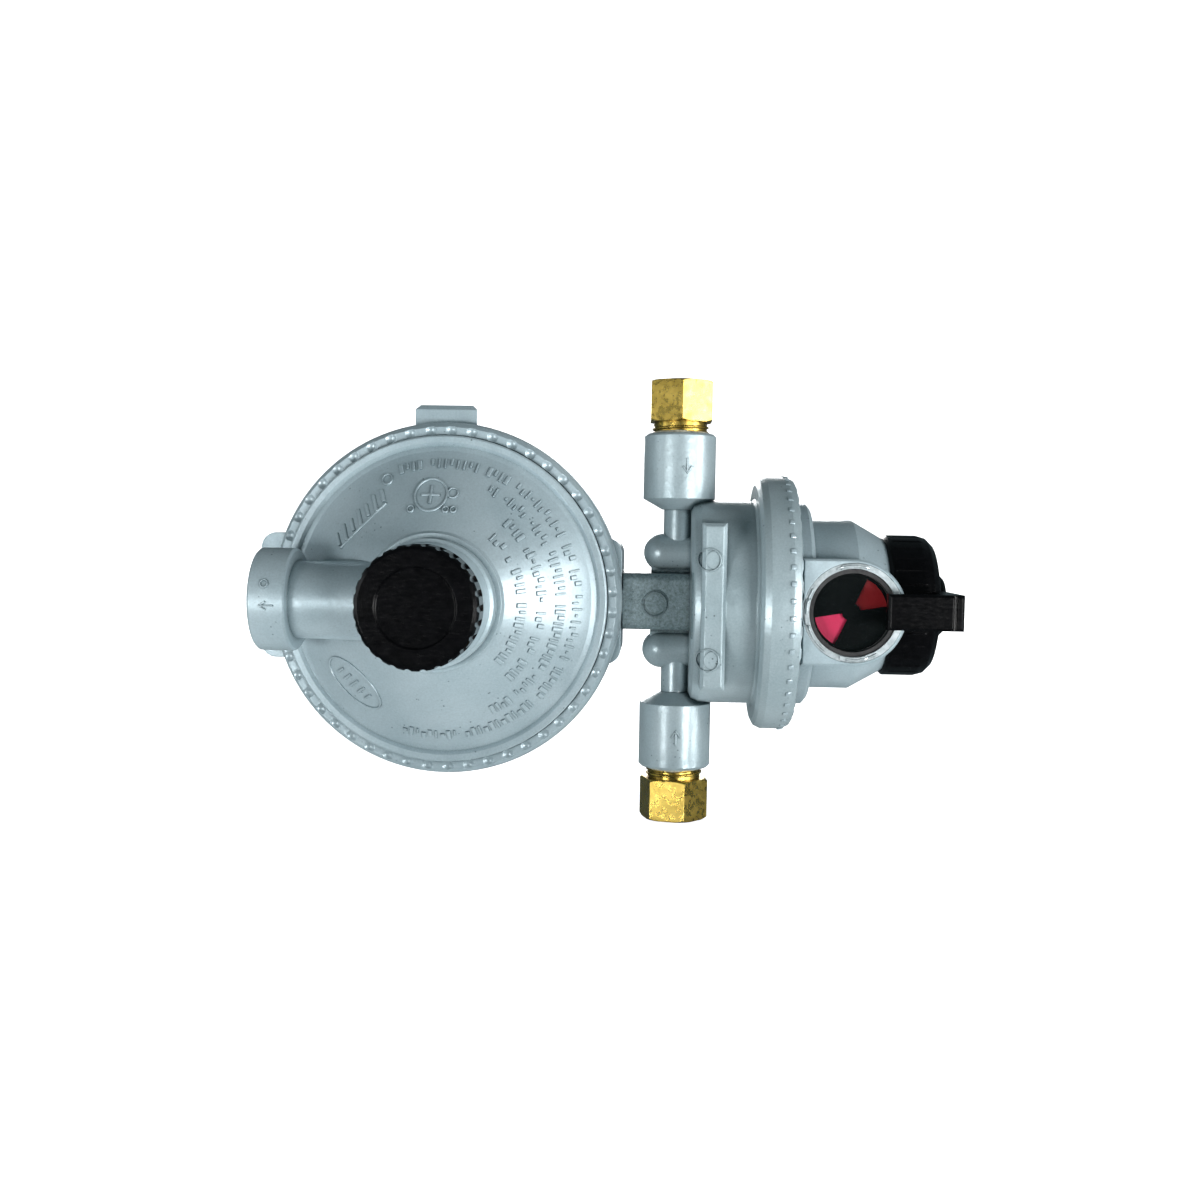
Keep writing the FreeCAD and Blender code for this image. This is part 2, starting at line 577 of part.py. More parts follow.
def test_port_plug():
    x = (TEST_BOSS_LEFT_X + TEST_BOSS_RIGHT_X) / 2
    y = (TEST_BOSS_FRONT_Y + TEST_BOSS_BACK_Y) / 2
    plug = cyl("z", TEST_PLUG_R, TEST_BOSS_TOP_Z - TEST_BORE_DEPTH + 0.6, TEST_BOSS_TOP_Z - 0.6, x, y)
    return plug.cut(hex_prism("z", 4.8, TEST_BOSS_TOP_Z - 5.0, TEST_BOSS_TOP_Z + 1, 15.0, x, y))


# ---------------------------------------------------------------- second stage bonnet
def regulator_bonnet():
    outer = spin("y", [
        (BONNET_BACK_Y, 0), (BONNET_BACK_Y, BONNET_FLANGE_R), (LIP_BACK_Y, BONNET_FLANGE_R),
        (LIP_BACK_Y, BAND_OUTER_R), (BAND_FRONT_Y + 0.3, BAND_OUTER_R), (BAND_FRONT_Y, BAND_OUTER_R - 0.4),
        (BAND_FRONT_Y, VALLEY_R + 0.9), (BAND_FRONT_Y + 0.7, VALLEY_R), (CONE_FOOT_Y, CONE_FOOT_R),
        (CONE_TOP_Y, CONE_TOP_R), (CONE_TOP_Y - 0.9, TOWER_PAD_R), (CONE_TOP_Y - 1.6, TOWER_PAD_R),
        (CONE_TOP_Y - 1.6, TOWER_LOW_R), (TOWER_STEP_Y, TOWER_LOW_R),
        (TOWER_STEP_Y - 0.5, TOWER_TOP_R + 0.6),
        (TOWER_FACE_Y, TOWER_TOP_R), (TOWER_FACE_Y, 0)])
    vent_tube = cone("x", VENT_TUBE_R - 0.3, VENT_TUBE_R + 0.3, VENT_COLLAR_X, -8.0, VENT_Y, 0)
    vent_collar = cyl("x", VENT_COLLAR_R, VENT_MOUTH_X, VENT_COLLAR_X, VENT_Y, 0)
    edges = [e for e in vent_collar.Edges if isinstance(e.Curve, Part.Circle)]
    vent_collar = vent_collar.makeChamfer(0.5, edges)
    bonnet = fuse(outer, vent_tube, vent_collar)
    inside = spin("y", [
        (BONNET_BACK_Y + 1, 0), (BONNET_BACK_Y + 1, CAVITY_R), (LIP_BACK_Y + 0.6, CAVITY_R),
        (LIP_BACK_Y - 0.6, CAVITY_R - 1.5), (CONE_TOP_Y + 2.6, TOWER_BORE_R + 3.9),
        (CONE_TOP_Y + 0.6, TOWER_BORE_R), (TOWER_FACE_Y - 1, TOWER_BORE_R), (TOWER_FACE_Y - 1, 0)])
    bonnet = bonnet.cut(inside)
    bore_end = VENT_MOUTH_X + VENT_BORE_LEN
    bonnet = bonnet.cut(cyl("x", VENT_BORE_R, VENT_MOUTH_X - 1, bore_end, VENT_Y, 0))
    bonnet = bonnet.cut(cyl("x", VENT_SEAT_R, bore_end - 1, VENT_FLOOR_X, VENT_Y, 0))
    return bonnet.cut(cyl("x", VENT_PASSAGE_R, VENT_FLOOR_X - 1, -10.0, VENT_Y, 0))


def vent_screen():
    end = VENT_FLOOR_X
    disc = cyl("x", VENT_SEAT_R, end - SCREEN_THICK, end, VENT_Y, 0)
    holes = []
    for i in range(-3, 4):
        for j in range(-3, 4):
            y = VENT_Y + i * SCREEN_PITCH
            z = j * SCREEN_PITCH
            if math.hypot(y - VENT_Y, z) < SCREEN_RING_BORE_R - 0.9:
                half = SCREEN_HOLE / 2
                holes.append(box(end - 1, end + 1, y - half, y + half, z - half, z + half))
    return disc.cut(Part.makeCompound(holes))


def vent_screen_ring():
    left = VENT_MOUTH_X + VENT_BORE_LEN
    return tube("x", VENT_SEAT_R, SCREEN_RING_BORE_R, left, left + SCREEN_RING_LEN, VENT_Y, 0)


# ---------------------------------------------------------------- cap and adjustment
def bonnet_cap():
    cap = spin("y", [
        (CAP_FRONT_Y + 0.5, 0), (CAP_FRONT_Y + 0.5, CAP_RING_R - 0.3), (CAP_FRONT_Y, CAP_RING_R + 0.1),
        (CAP_FRONT_Y, CAP_HEAD_R - 1.2), (CAP_FRONT_Y + 0.5, CAP_HEAD_R - 0.4),
        (CAP_FRONT_Y + 1.4, CAP_HEAD_R),
        (CAP_BACK_Y - 0.4, CAP_HEAD_R), (CAP_BACK_Y, CAP_HEAD_R - 0.4), (CAP_BACK_Y, CAP_PLUG_R),
        (CAP_PLUG_END_Y - 0.6, CAP_PLUG_R), (CAP_PLUG_END_Y, CAP_PLUG_R - 0.6),
        (CAP_PLUG_END_Y, CAP_HOLLOW_R),
        (CAP_FRONT_Y + 3.0, CAP_HOLLOW_R), (CAP_FRONT_Y + 3.0, 0)])
    grooves = []
    for i in range(CAP_RIB_COUNT):
        t = 2 * math.pi * i / CAP_RIB_COUNT
        x = (CAP_HEAD_R + 0.45) * math.cos(t)
        z = (CAP_HEAD_R + 0.45) * math.sin(t)
        grooves.append(cyl("y", 0.95, CAP_FRONT_Y - 1, CAP_BACK_Y - 0.8, x, z))
    return cap.cut(Part.makeCompound(grooves))


def cap_gasket():
    return tube("y", GASKET_OUTER_R, CAP_PLUG_R + 0.2, CAP_BACK_Y, TOWER_FACE_Y - 0.05)


def adjusting_screw():
    screw = spin("y", [
        (SCREW_FRONT_Y, 0), (SCREW_FRONT_Y, SCREW_R - 0.5), (SCREW_FRONT_Y + 0.5, SCREW_R),
        (SCREW_BACK_Y - 0.5, SCREW_R), (SCREW_BACK_Y, SCREW_R - 0.5), (SCREW_BACK_Y, 0)])
    slot = box(3.3 - SCREW_R, SCREW_R - 3.3, SCREW_FRONT_Y - 1, SCREW_FRONT_Y + 2.2, -1.3, 1.3)
    hole = cyl("y", 3.0, SCREW_FRONT_Y - 1, SCREW_BACK_Y + 1)
    return screw.cut(slot).cut(hole)


def spring_seat():
    seat = spin("y", [
        (SCREW_BACK_Y, 3.0), (SCREW_BACK_Y, SEAT_R), (SEAT_BACK_Y, SEAT_R),
        (SEAT_BACK_Y, MAIN_SPRING_INSIDE_R - 0.5),
        (SEAT_BACK_Y + 2.0, MAIN_SPRING_INSIDE_R - 1.1), (SEAT_BACK_Y + 2.0, 3.0)])
    return seat


def main_spring():
    return coil("y", MAIN_SPRING_R, MAIN_SPRING_WIRE, MAIN_SPRING_TURNS, SEAT_BACK_Y + 0.1,
                PLATE_FRONT_Y - 0.1)


def relief_spring():
    return coil("y", RELIEF_SPRING_R, RELIEF_SPRING_WIRE, RELIEF_SPRING_TURNS,
                RETAINER_BACK_Y + 0.1, PLATE_FRONT_Y - 0.1)


def relief_retainer():
    return tube("y", RETAINER_R, STEM_R, RETAINER_FRONT_Y, RETAINER_BACK_Y)


# ---------------------------------------------------------------- diaphragm group
def diaphragm_plate():
    back = BONNET_BACK_Y
    ring_r = MAIN_SPRING_INSIDE_R - SAFE_GAP
    return spin("y", [
        (back, STEM_HOLE_R), (back, PLATE_R), (PLATE_FRONT_Y - 1.5, PLATE_R),
        (PLATE_FRONT_Y - 1.5, PLATE_R - 1.2),
        (PLATE_FRONT_Y, PLATE_R - 1.2), (PLATE_FRONT_Y, ring_r), (PLATE_FRONT_Y - 2.2, ring_r - 0.3),
        (PLATE_FRONT_Y - 2.2, ring_r - 1.2), (PLATE_FRONT_Y, ring_r - 1.4), (PLATE_FRONT_Y, STEM_HOLE_R)])


def convolution(start_r, end_r, at, thick, height):
    """Profile points (axis position, radius) of one rolled wave and their offset partners."""
    steps = 8
    near = []
    for i in range(steps + 1):
        t = i / steps
        r = start_r + (end_r - start_r) * t
        near.append((at + height * math.sin(math.pi * t) ** 2, r))
    far = [(a - thick, r) for a, r in reversed(near)]
    return near, far


def diaphragm():
    near, far = convolution(CONVOLUTION_IN_R, CONVOLUTION_OUT_R, LEDGE_Y, DIAPHRAGM_THICK,
                            -CONVOLUTION_HEIGHT)
    front = LEDGE_Y - DIAPHRAGM_THICK
    edge_r = POCKET_R - FIT_GAP
    hole = [(front, STEM_HOLE_R), (LEDGE_Y, STEM_HOLE_R)]
    return spin("y", hole + near + [(LEDGE_Y, edge_r), (front, edge_r)] + far)


def pusher_stem():
    return spin("y", [
        (STEM_FRONT_Y, 0), (STEM_FRONT_Y, STEM_R), (LEDGE_Y, STEM_R), (LEDGE_Y, STEM_FLANGE_R),
        (LEDGE_Y + 1.2, STEM_FLANGE_R), (LEDGE_Y + 1.2, STEM_R),
        (PIVOT_Y - FORK_GAP - 1.2, STEM_R), (PIVOT_Y - FORK_GAP - 1.2, STEM_COLLAR_R),
        (PIVOT_Y - FORK_GAP, STEM_COLLAR_R), (PIVOT_Y - FORK_GAP, STEM_R),
        (PIVOT_Y + FORK_GAP, STEM_R), (PIVOT_Y + FORK_GAP, STEM_COLLAR_R),
        (PIVOT_Y + FORK_GAP + 1.2, STEM_COLLAR_R), (PIVOT_Y + FORK_GAP + 1.2, STEM_R),
        (STEM_BACK_Y, STEM_R), (STEM_BACK_Y, 0)])


# ---------------------------------------------------------------- second stage valve
def valve_lever():
    t = LEVER_HALF_THICK
    half_fork = FORK_THICK / 2
    fork_z = STEM_R + 2.7
    hub = cyl("z", LEVER_HUB_R, -t - 0.3, t + 0.3, PIVOT_X, PIVOT_Y)
    short_arm = box(PIVOT_X - 0.8, PIVOT_X + 0.8, LEVER_TIP_Y, PIVOT_Y, -t, t)
    tip = cyl("z", LEVER_TIP_R, -t, t, PIVOT_X, LEVER_TIP_Y)
    long_arm = box(STEM_R + 0.9, PIVOT_X, PIVOT_Y - 0.9, PIVOT_Y + 0.9, -t, t)
    fork = box(-STEM_R - 1.1, STEM_R + 1.5, PIVOT_Y - half_fork, PIVOT_Y + half_fork, -fork_z, fork_z)
    fork = fork.cut(box(-STEM_R - 2, STEM_HOLE_R, PIVOT_Y - 2, PIVOT_Y + 2, -STEM_HOLE_R, STEM_HOLE_R))
    lever = fuse(hub, short_arm, tip, long_arm, fork)
    return lever.cut(cyl("z", LEVER_HOLE_R, -3, 3, PIVOT_X, PIVOT_Y))


def lever_pin():
    return cyl("z", PIN_R, -GUIDE_EAR_Z, GUIDE_EAR_Z, PIVOT_X, PIVOT_Y)


def valve_guide():
    guide = cyl("x", GUIDE_R, GUIDE_LEFT_X, NOZZLE_BOSS_LEFT_X)
    slot_z = LEVER_HALF_THICK + 0.8
    ears = box(PIVOT_X - 2, PIVOT_X + 2, PIVOT_Y - 2.75, PIVOT_Y + 2.05, -GUIDE_EAR_Z, GUIDE_EAR_Z)
    guide = guide.fuse(ears)
    guide = guide.cut(cyl("x", GUIDE_BORE_R, GUIDE_LEFT_X - 1, PLUNGER_RIGHT_X))
    guide = guide.cut(cyl("x", NOZZLE_R, PLUNGER_RIGHT_X, NOZZLE_BOSS_LEFT_X + 1))
    guide = guide.cut(box(GUIDE_LEFT_X - 1, PIVOT_X + 3.2, 0, PIVOT_Y + 3.0, -slot_z, slot_z))
    port_left = NOZZLE_TIP_X - 1.1
    port_right = NOZZLE_TIP_X + 1.5
    guide = guide.cut(box(port_left, port_right, -GUIDE_R - 1, GUIDE_R + 1, -1.6, 1.6))
    guide = guide.cut(box(port_left, port_right, -1.6, 1.6, -GUIDE_R - 1, GUIDE_R + 1))
    return guide.cut(cyl("z", PIN_R, -GUIDE_EAR_Z - 1, GUIDE_EAR_Z + 1, PIVOT_X, PIVOT_Y)).removeSplitter()


def valve_plunger():
    plunger = cyl("x", PLUNGER_R, PLUNGER_LEFT_X, PLUNGER_RIGHT_X)
    tip_half = LEVER_TIP_R + 0.3
    hub_half = LEVER_HUB_R + 0.8
    tip_y = LEVER_TIP_Y - LEVER_TIP_R - 0.55
    hub_y = PIVOT_Y - LEVER_HUB_R - 0.65
    z = LEVER_HALF_THICK + SAFE_GAP
    plunger = plunger.cut(box(PIVOT_X - tip_half, PIVOT_X + tip_half, tip_y, PLUNGER_R + 1, -z, z))
    plunger = plunger.cut(box(PIVOT_X - hub_half, PIVOT_X + hub_half, hub_y, PLUNGER_R + 1, -z - 0.3,
                              z + 0.3))
    return plunger.cut(cyl("x", SEAT_DISC_R, PLUNGER_RIGHT_X - 1.2, PLUNGER_RIGHT_X + 1))


def valve_seat_disc():
    return cyl("x", SEAT_DISC_R, PLUNGER_RIGHT_X - 1.2, SEAT_DISC_FACE_X)


def inlet_nozzle():
    return spin("x", [
        (NOZZLE_TIP_X, NOZZLE_ORIFICE_R), (NOZZLE_TIP_X, NOZZLE_ORIFICE_R + 0.9),
        (NOZZLE_TIP_X + 2.0, NOZZLE_R - 1.1), (NOZZLE_TIP_X + 2.0, NOZZLE_R), (NOZZLE_RIGHT_X, NOZZLE_R),
        (NOZZLE_RIGHT_X, NOZZLE_INSIDE_R), (NOZZLE_TIP_X + 5.0, NOZZLE_INSIDE_R),
        (NOZZLE_TIP_X + 3.9, NOZZLE_ORIFICE_R)])


def nozzle_seal():
    return tube("x", SPIGOT_R - 1.5, FLOW_PASSAGE_R, SOCKET_FLOOR_X, SPIGOT_LEFT_X)


def neck_seal():
    return torus("x", SPIGOT_R - NECK_SEAL_WIRE_R, NECK_SEAL_WIRE_R, NECK_SEAL_X)


# ---------------------------------------------------------------- changeover casting
def neck():
    block = box(NECK_LEFT_X, DRUM_LEFT_X + 1, -NECK_HALF_Y, NECK_HALF_Y, -NECK_HALF_Z, NECK_HALF_Z)
    along = [e for e in block.Edges if abs(e.Vertexes[0].X - e.Vertexes[1].X) > 1]
    block = block.makeFillet(2.0, along)
    groove_half = NECK_SEAL_WIRE_R + 0.1
    groove_r = SPIGOT_R - 2 * NECK_SEAL_WIRE_R
    groove = tube("x", SPIGOT_R + 1, groove_r, NECK_SEAL_X - groove_half, NECK_SEAL_X + groove_half)
    spigot = cyl("x", SPIGOT_R, SPIGOT_LEFT_X, NECK_LEFT_X).cut(groove)
    mark = cyl("y", 3.0, -NECK_HALF_Y - 0.15, -NECK_HALF_Y + 1, NECK_LEFT_X + NECK_LEN / 2, 0)
    return fuse(block, spigot, mark)


def inlet_branch():
    """Upper valve lobe, riser tube and threaded inlet boss; the lower one is its mirror image."""
    lobe = cyl("x", LOBE_R, LOBE_LEFT_X + LOBE_R, DRUM_LEFT_X + 1, 0, LOBE_Z)
    dome = Part.makeSphere(LOBE_R, V(LOBE_LEFT_X + LOBE_R, 0, LOBE_Z))
    riser = cyl("z", INLET_TUBE_R, LOBE_Z, INLET_BOSS_START_Z, INLET_X, 0)
    foot = cone("z", INLET_TUBE_R + 0.5, INLET_BOSS_R, INLET_BOSS_FOOT_Z, INLET_BOSS_START_Z, INLET_X, 0)
    boss = cyl("z", INLET_BOSS_R, INLET_BOSS_START_Z, INLET_BOSS_END_Z, INLET_X, 0)
    rim = [e for e in boss.Edges if e.Vertexes[0].Z > INLET_BOSS_END_Z - 0.01 and e.Closed]
    boss = boss.makeChamfer(0.6, rim)
    return fuse(lobe, dome, riser, foot, boss)


def drum():
    e = DRUM_EDGE
    return spin("x", [
        (DRUM_LEFT_X, 0), (DRUM_LEFT_X, DRUM_R - e), (DRUM_LEFT_X + 0.3 * e, DRUM_R - 0.3 * e),
        (DRUM_LEFT_X + e, DRUM_R), (FLANGE_LEFT_X - 0.6, DRUM_R), (FLANGE_LEFT_X, DRUM_R + 0.6),
        (FLANGE_LEFT_X, FLANGE_R - 2.2), (FLANGE_LEFT_X + 0.8, FLANGE_R - 0.7),
        (FLANGE_LEFT_X + 2.4, FLANGE_R),
        (CHANGE_LIP_X - 0.6, FLANGE_R), (FLANGE_RIGHT_X - 0.5, FLANGE_R - 0.9),
        (FLANGE_RIGHT_X, FLANGE_R - 1.8),
        (FLANGE_RIGHT_X, 0)])


def front_pad():
    pad = box(PAD_LEFT_X, PAD_LEFT_X + PAD_WIDTH, PAD_FRONT_Y, PAD_BACK_Y, -PAD_HALF_Z, PAD_HALF_Z)
    front = [e for e in pad.Edges if all(v.Y < PAD_FRONT_Y + 0.01 for v in e.Vertexes)]
    pad = pad.makeChamfer(0.9, front)
    x = PAD_LEFT_X + PAD_WIDTH / 2
    heights = (PAD_HALF_Z - 9.0, 7.5 - PAD_HALF_Z)
    marks = [cyl("y", 2.2, PAD_FRONT_Y - 0.15, PAD_FRONT_Y + 1, x, z) for z in heights]
    return fuse(pad, *marks)


def change_crimp_balls():
    balls = []
    ring_r = FLANGE_R - 2.6
    for i in range(CHANGE_CRIMPS):
        t = 2 * math.pi * (i + 0.5) / CHANGE_CRIMPS
        balls.append(Part.makeSphere(2.2,
                                     V(FLANGE_RIGHT_X + 1.3, ring_r * math.cos(t), ring_r * math.sin(t))))
    return Part.makeCompound(balls)


def changeover_body():
    upper = inlet_branch()
    web = box(LOBE_LEFT_X + 2.0, DRUM_LEFT_X + 1, -2.4, 2.4, -LOBE_Z, LOBE_Z)
    body = fuse(drum(), neck(), web, front_pad(), upper, mirror_z(upper))
    chamber = spin("x", [
        (CHAMBER_LEFT_X, 0), (CHAMBER_LEFT_X, CHAMBER_R), (DIAPHRAGM_LEDGE_X, CHAMBER_R),
        (DIAPHRAGM_LEDGE_X, CHANGE_POCKET_R), (CHANGE_LIP_X, CHANGE_POCKET_R), (CHANGE_LIP_X, CHANGE_LIP_R),
        (FLANGE_RIGHT_X + 1, CHANGE_LIP_R), (FLANGE_RIGHT_X + 1, 0)])
    body = body.cut(chamber)
    body = body.cut(cyl("x", FLOW_PASSAGE_R, SPIGOT_LEFT_X - 1, CHAMBER_LEFT_X + 1))
    branch_cuts = Part.makeCompound([
        cyl("x", VALVE_POCKET_R, VALVE_POCKET_LEFT_X, CHAMBER_LEFT_X + 1, 0, LOBE_Z),
        cyl("z", INLET_DRILL_R, LOBE_Z, INLET_BOSS_END_Z, INLET_X, 0),
        cyl("z", FILTER_R + 0.1, FILTER_START_Z, INLET_BOSS_END_Z, INLET_X, 0),
        cyl("z", INLET_THREAD_R, INLET_THREAD_START_Z, INLET_BOSS_END_Z + 1, INLET_X, 0)])
    for cutter in branch_cuts.Solids:
        body = body.cut(cutter).cut(mirror_z(cutter))
    return body.cut(change_crimp_balls())


# ---------------------------------------------------------------- inlets and first stage valves
def inlet_fitting(turn):
    prism = hex_prism("z", HEX_ACROSS_FLATS, HEX_START_Z, HEX_END_Z, turn, INLET_X, 0)
    corner_r = HEX_ACROSS_FLATS / math.sqrt(3)
    c = HEX_CHAMFER
    trim = cone("z", corner_r - c, corner_r + 3, HEX_START_Z, HEX_START_Z + (c + 3) * 0.6, INLET_X, 0)
    trim = trim.fuse(cyl("z", corner_r + 3, HEX_START_Z + (c + 3) * 0.6, HEX_END_Z - (c + 3) * 0.6,
                         INLET_X, 0))
    trim = trim.fuse(cone("z", corner_r + 3, corner_r - c, HEX_END_Z - (c + 3) * 0.6, HEX_END_Z, INLET_X,
                          0))
    head = prism.common(trim)
    collar = cyl("z", FITTING_COLLAR_R, INLET_BOSS_END_Z, HEX_START_Z, INLET_X, 0)
    shank = cyl("z", INLET_THREAD_R, INLET_THREAD_START_Z + 0.2, INLET_BOSS_END_Z, INLET_X, 0)
    fitting = fuse(head, collar, shank)
    bore_floor = HEX_END_Z - FLARE_BORE_LEN
    fitting = fitting.cut(cyl("z", FLARE_BORE_R, bore_floor, HEX_END_Z + 1, INLET_X, 0))
    fitting = fitting.cut(cone("z", FLARE_DRILL_R, 3.6, bore_floor - 2.0, bore_floor, INLET_X, 0))
    return fitting.cut(cyl("z", FLARE_DRILL_R, INLET_THREAD_START_Z - 1, HEX_END_Z, INLET_X, 0))


def inlet_filter():
    body = tube("z", FILTER_R, FILTER_R - FILTER_WALL, FILTER_START_Z + 0.2, INLET_THREAD_START_Z,
                INLET_X, 0)
    floor = cyl("z", FILTER_R, FILTER_START_Z + 0.2, FILTER_START_Z + 1.0, INLET_X, 0)
    return fuse(body, floor)


def inlet_valve():
    return spin("x", [
        (POPPET_TAIL_X, 0), (POPPET_TAIL_X, POPPET_TAIL_R), (POPPET_LEFT_X, POPPET_TAIL_R),
        (POPPET_LEFT_X, POPPET_R), (POPPET_RIGHT_X, POPPET_R), (POPPET_RIGHT_X, POPPET_STEM_R),
        (POPPET_STEM_X - 0.4, POPPET_STEM_R), (POPPET_STEM_X, 0.4), (POPPET_STEM_X, 0)])


def inlet_seat():
    return spin("x", [
        (SEAT_LEFT_X, SEAT_ORIFICE_R), (SEAT_LEFT_X, VALVE_POCKET_R - 1.2),
        (SEAT_LEFT_X + 0.8, VALVE_POCKET_R),
        (SEAT_RIGHT_X, VALVE_POCKET_R), (SEAT_RIGHT_X, SEAT_ORIFICE_R)])


def inlet_spring():
    return coil("x", INLET_SPRING_R, INLET_SPRING_WIRE, INLET_SPRING_TURNS,
                VALVE_POCKET_LEFT_X + 0.1, POPPET_LEFT_X - 0.1, 0, 0)


def at_lobe(shape):
    moved = shape.copy()
    moved.translate(V(0, 0, LOBE_Z))
    return moved


# ---------------------------------------------------------------- changeover diaphragm group
def changeover_diaphragm():
    t = CHANGE_DIAPHRAGM_THICK
    far_x = DIAPHRAGM_LEDGE_X + t
    near, far = convolution(CHANGE_PLATE_R + 0.9, CHAMBER_R - 1.0, far_x, t, 1.8)
    return spin("x", [(DIAPHRAGM_LEDGE_X, YOKE_STEM_R), (far_x, YOKE_STEM_R)] + near
                + [(far_x, CHANGE_POCKET_R - 0.1), (DIAPHRAGM_LEDGE_X, CHANGE_POCKET_R - 0.1)] + far)


def changeover_plate():
    left = CHANGE_PLATE_LEFT_X
    right = CHANGE_PLATE_RIGHT_X
    ring_r = CHANGE_SPRING_R - CHANGE_SPRING_WIRE / 2 - 0.6
    return spin("x", [
        (left, YOKE_STEM_R), (left, CHANGE_PLATE_R), (right, CHANGE_PLATE_R), (right, ring_r),
        (right + 1.6, ring_r - 0.4), (right + 1.6, ring_r - 1.4), (right, ring_r - 1.6),
        (right, YOKE_STEM_R)])


def changeover_plate_inner():
    return tube("x", INNER_PLATE_R, YOKE_STEM_R, INNER_PLATE_LEFT_X, DIAPHRAGM_LEDGE_X)


def rocker_yoke():
    bridge_x = YOKE_PIN_X + ROCKER_HUB_R + 0.7
    w = EAR_OUTER_Y
    h = YOKE_HALF_Z
    stem = cyl("x", YOKE_STEM_R, bridge_x + 0.4, CHANGE_PLATE_RIGHT_X)
    nut = cyl("x", YOKE_STEM_R + 1.4, CHANGE_PLATE_RIGHT_X, CHANGE_PLATE_RIGHT_X + 1.4)
    bridge = box(bridge_x, INNER_PLATE_LEFT_X, -w, w, -h, h)
    ears = [box(YOKE_PIN_X - 1.6, bridge_x + 0.4, y, y + EAR_THICK, -h, h) for y in (-w, EAR_INNER_Y)]
    pin = cyl("y", YOKE_PIN_R, -w, w, YOKE_PIN_X, 0)
    return fuse(stem, nut, bridge, pin, *ears)


def rocker():
    bar = box(ROCKER_LEFT_X, YOKE_PIN_X, -ROCKER_HALF_Y, ROCKER_HALF_Y, -ROCKER_HALF_Z, ROCKER_HALF_Z)
    hub = cyl("y", ROCKER_HUB_R, -ROCKER_HALF_Y, ROCKER_HALF_Y, YOKE_PIN_X, 0)
    bar = fuse(bar, hub)
    return bar.cut(cyl("y", ROCKER_HOLE_R, -4, 4, YOKE_PIN_X, 0))


def changeover_spring():
    return coil("x", CHANGE_SPRING_R, CHANGE_SPRING_WIRE, CHANGE_SPRING_TURNS,
                CHANGE_PLATE_RIGHT_X + 0.1, SHAFT_BOSS_X - 0.1)


# ---------------------------------------------------------------- changeover bonnet and indicator
def window_boss():
    """Boss in front of the bell; its rear is cut away to leave room for the knob's rim."""
    block = box(FLANGE_RIGHT_X + FIT_GAP, WINDOW_X, WINDOW_FACE_Y, 3.5 - BELL_BORE_R,
                WINDOW_Z - WINDOW_BOSS_R, WINDOW_Z + WINDOW_BOSS_R)
    boss = fuse(cyl("y", WINDOW_BOSS_R, WINDOW_FACE_Y, 3.5 - BELL_BORE_R, WINDOW_X, WINDOW_Z), block)
    rim = [e for e in boss.Edges if all(abs(v.Y - WINDOW_FACE_Y) < 0.01 for v in e.Vertexes)]
    boss = boss.makeChamfer(0.5, rim)
    right = WINDOW_X + WINDOW_BOSS_R + 5
    return boss.cut(box(KNOB_LEFT_X - 1.0, right, -KNOB_R - 1.2, 0, -DRUM_R, DRUM_R))


def changeover_bonnet():
    left = CHANGE_PLATE_LEFT_X
    outer = spin("x", [
        (left, 0), (left, CHANGE_POCKET_R - 0.1), (CHANGE_LIP_X, CHANGE_POCKET_R - 0.1),
        (CHANGE_LIP_X, CHANGE_LIP_R - 0.1), (FLANGE_RIGHT_X - 0.6, CHANGE_LIP_R - 0.4),
        (FLANGE_RIGHT_X + 0.6, BASE_RING_R), (BASE_RING_X - 1.0, BASE_RING_R),
        (BASE_RING_X, BASE_RING_R - 1.2),
        (BASE_RING_X, BELL_R + 0.5), (BASE_RING_X + 0.5, BELL_R), (BELL_END_X, BELL_R), (NOSE_X, NOSE_R),
        (NOSE_X, 0)])
    inside = spin("x", [
        (left - 1, 0), (left - 1, CHAMBER_R - 0.5), (BASE_RING_X - 2.5, CHAMBER_R - 0.5),
        (BASE_RING_X - 1.2, BELL_BORE_R), (BELL_END_X - 0.2, BELL_BORE_R),
        (NOSE_X - NOSE_WALL, NOSE_R - 3.1),
        (NOSE_X - NOSE_WALL, SHAFT_BOSS_R), (SHAFT_BOSS_X, SHAFT_BOSS_R), (SHAFT_BOSS_X, 0)])
    boss = window_boss().cut(inside).cut(cyl("x", BELL_BORE_R, 88.0, SHAFT_BOSS_X))
    bonnet = fuse(outer.cut(inside), boss)
    bonnet = bonnet.cut(cyl("x", SHAFT_HOLE_R, SHAFT_BOSS_X - 1, NOSE_X + 1))
    bonnet = bonnet.cut(cyl("y", WINDOW_POCKET_R, WINDOW_FACE_Y - 1, WINDOW_POCKET_Y, WINDOW_X, WINDOW_Z))
    bonnet = bonnet.cut(cyl("y", WINDOW_CHAMBER_R, WINDOW_POCKET_Y - 1, WINDOW_FLOOR_Y, WINDOW_X, WINDOW_Z))
    return bonnet.cut(cyl("y", SPINDLE_HOLE_R, WINDOW_FLOOR_Y - 1, 3.5 - BELL_BORE_R, WINDOW_X, WINDOW_Z))


def lens_ring():
    ring = tube("y", LENS_RING_OUTER_R, LENS_RING_INNER_R, WINDOW_FACE_Y, WINDOW_POCKET_Y, WINDOW_X,
                WINDOW_Z)
    raised = tube("y", LENS_RING_OUTER_R - 0.2, LENS_RING_INNER_R + 0.1, WINDOW_FACE_Y - LENS_TAB_HEIGHT,
                  WINDOW_FACE_Y, WINDOW_X, WINDOW_Z)
    w = LENS_TAB_HALF_WIDTH
    far = WINDOW_BOSS_R + 5
    front = 2 * WINDOW_FACE_Y
    tabs = raised.common(box(WINDOW_X - w, WINDOW_X + w, front, 0, WINDOW_Z - far, WINDOW_Z + far))
    tabs = tabs.fuse(raised.common(box(WINDOW_X - far, WINDOW_X + far, front, 0, WINDOW_Z - w,
                                       WINDOW_Z + w)))
    return fuse(ring, tabs)


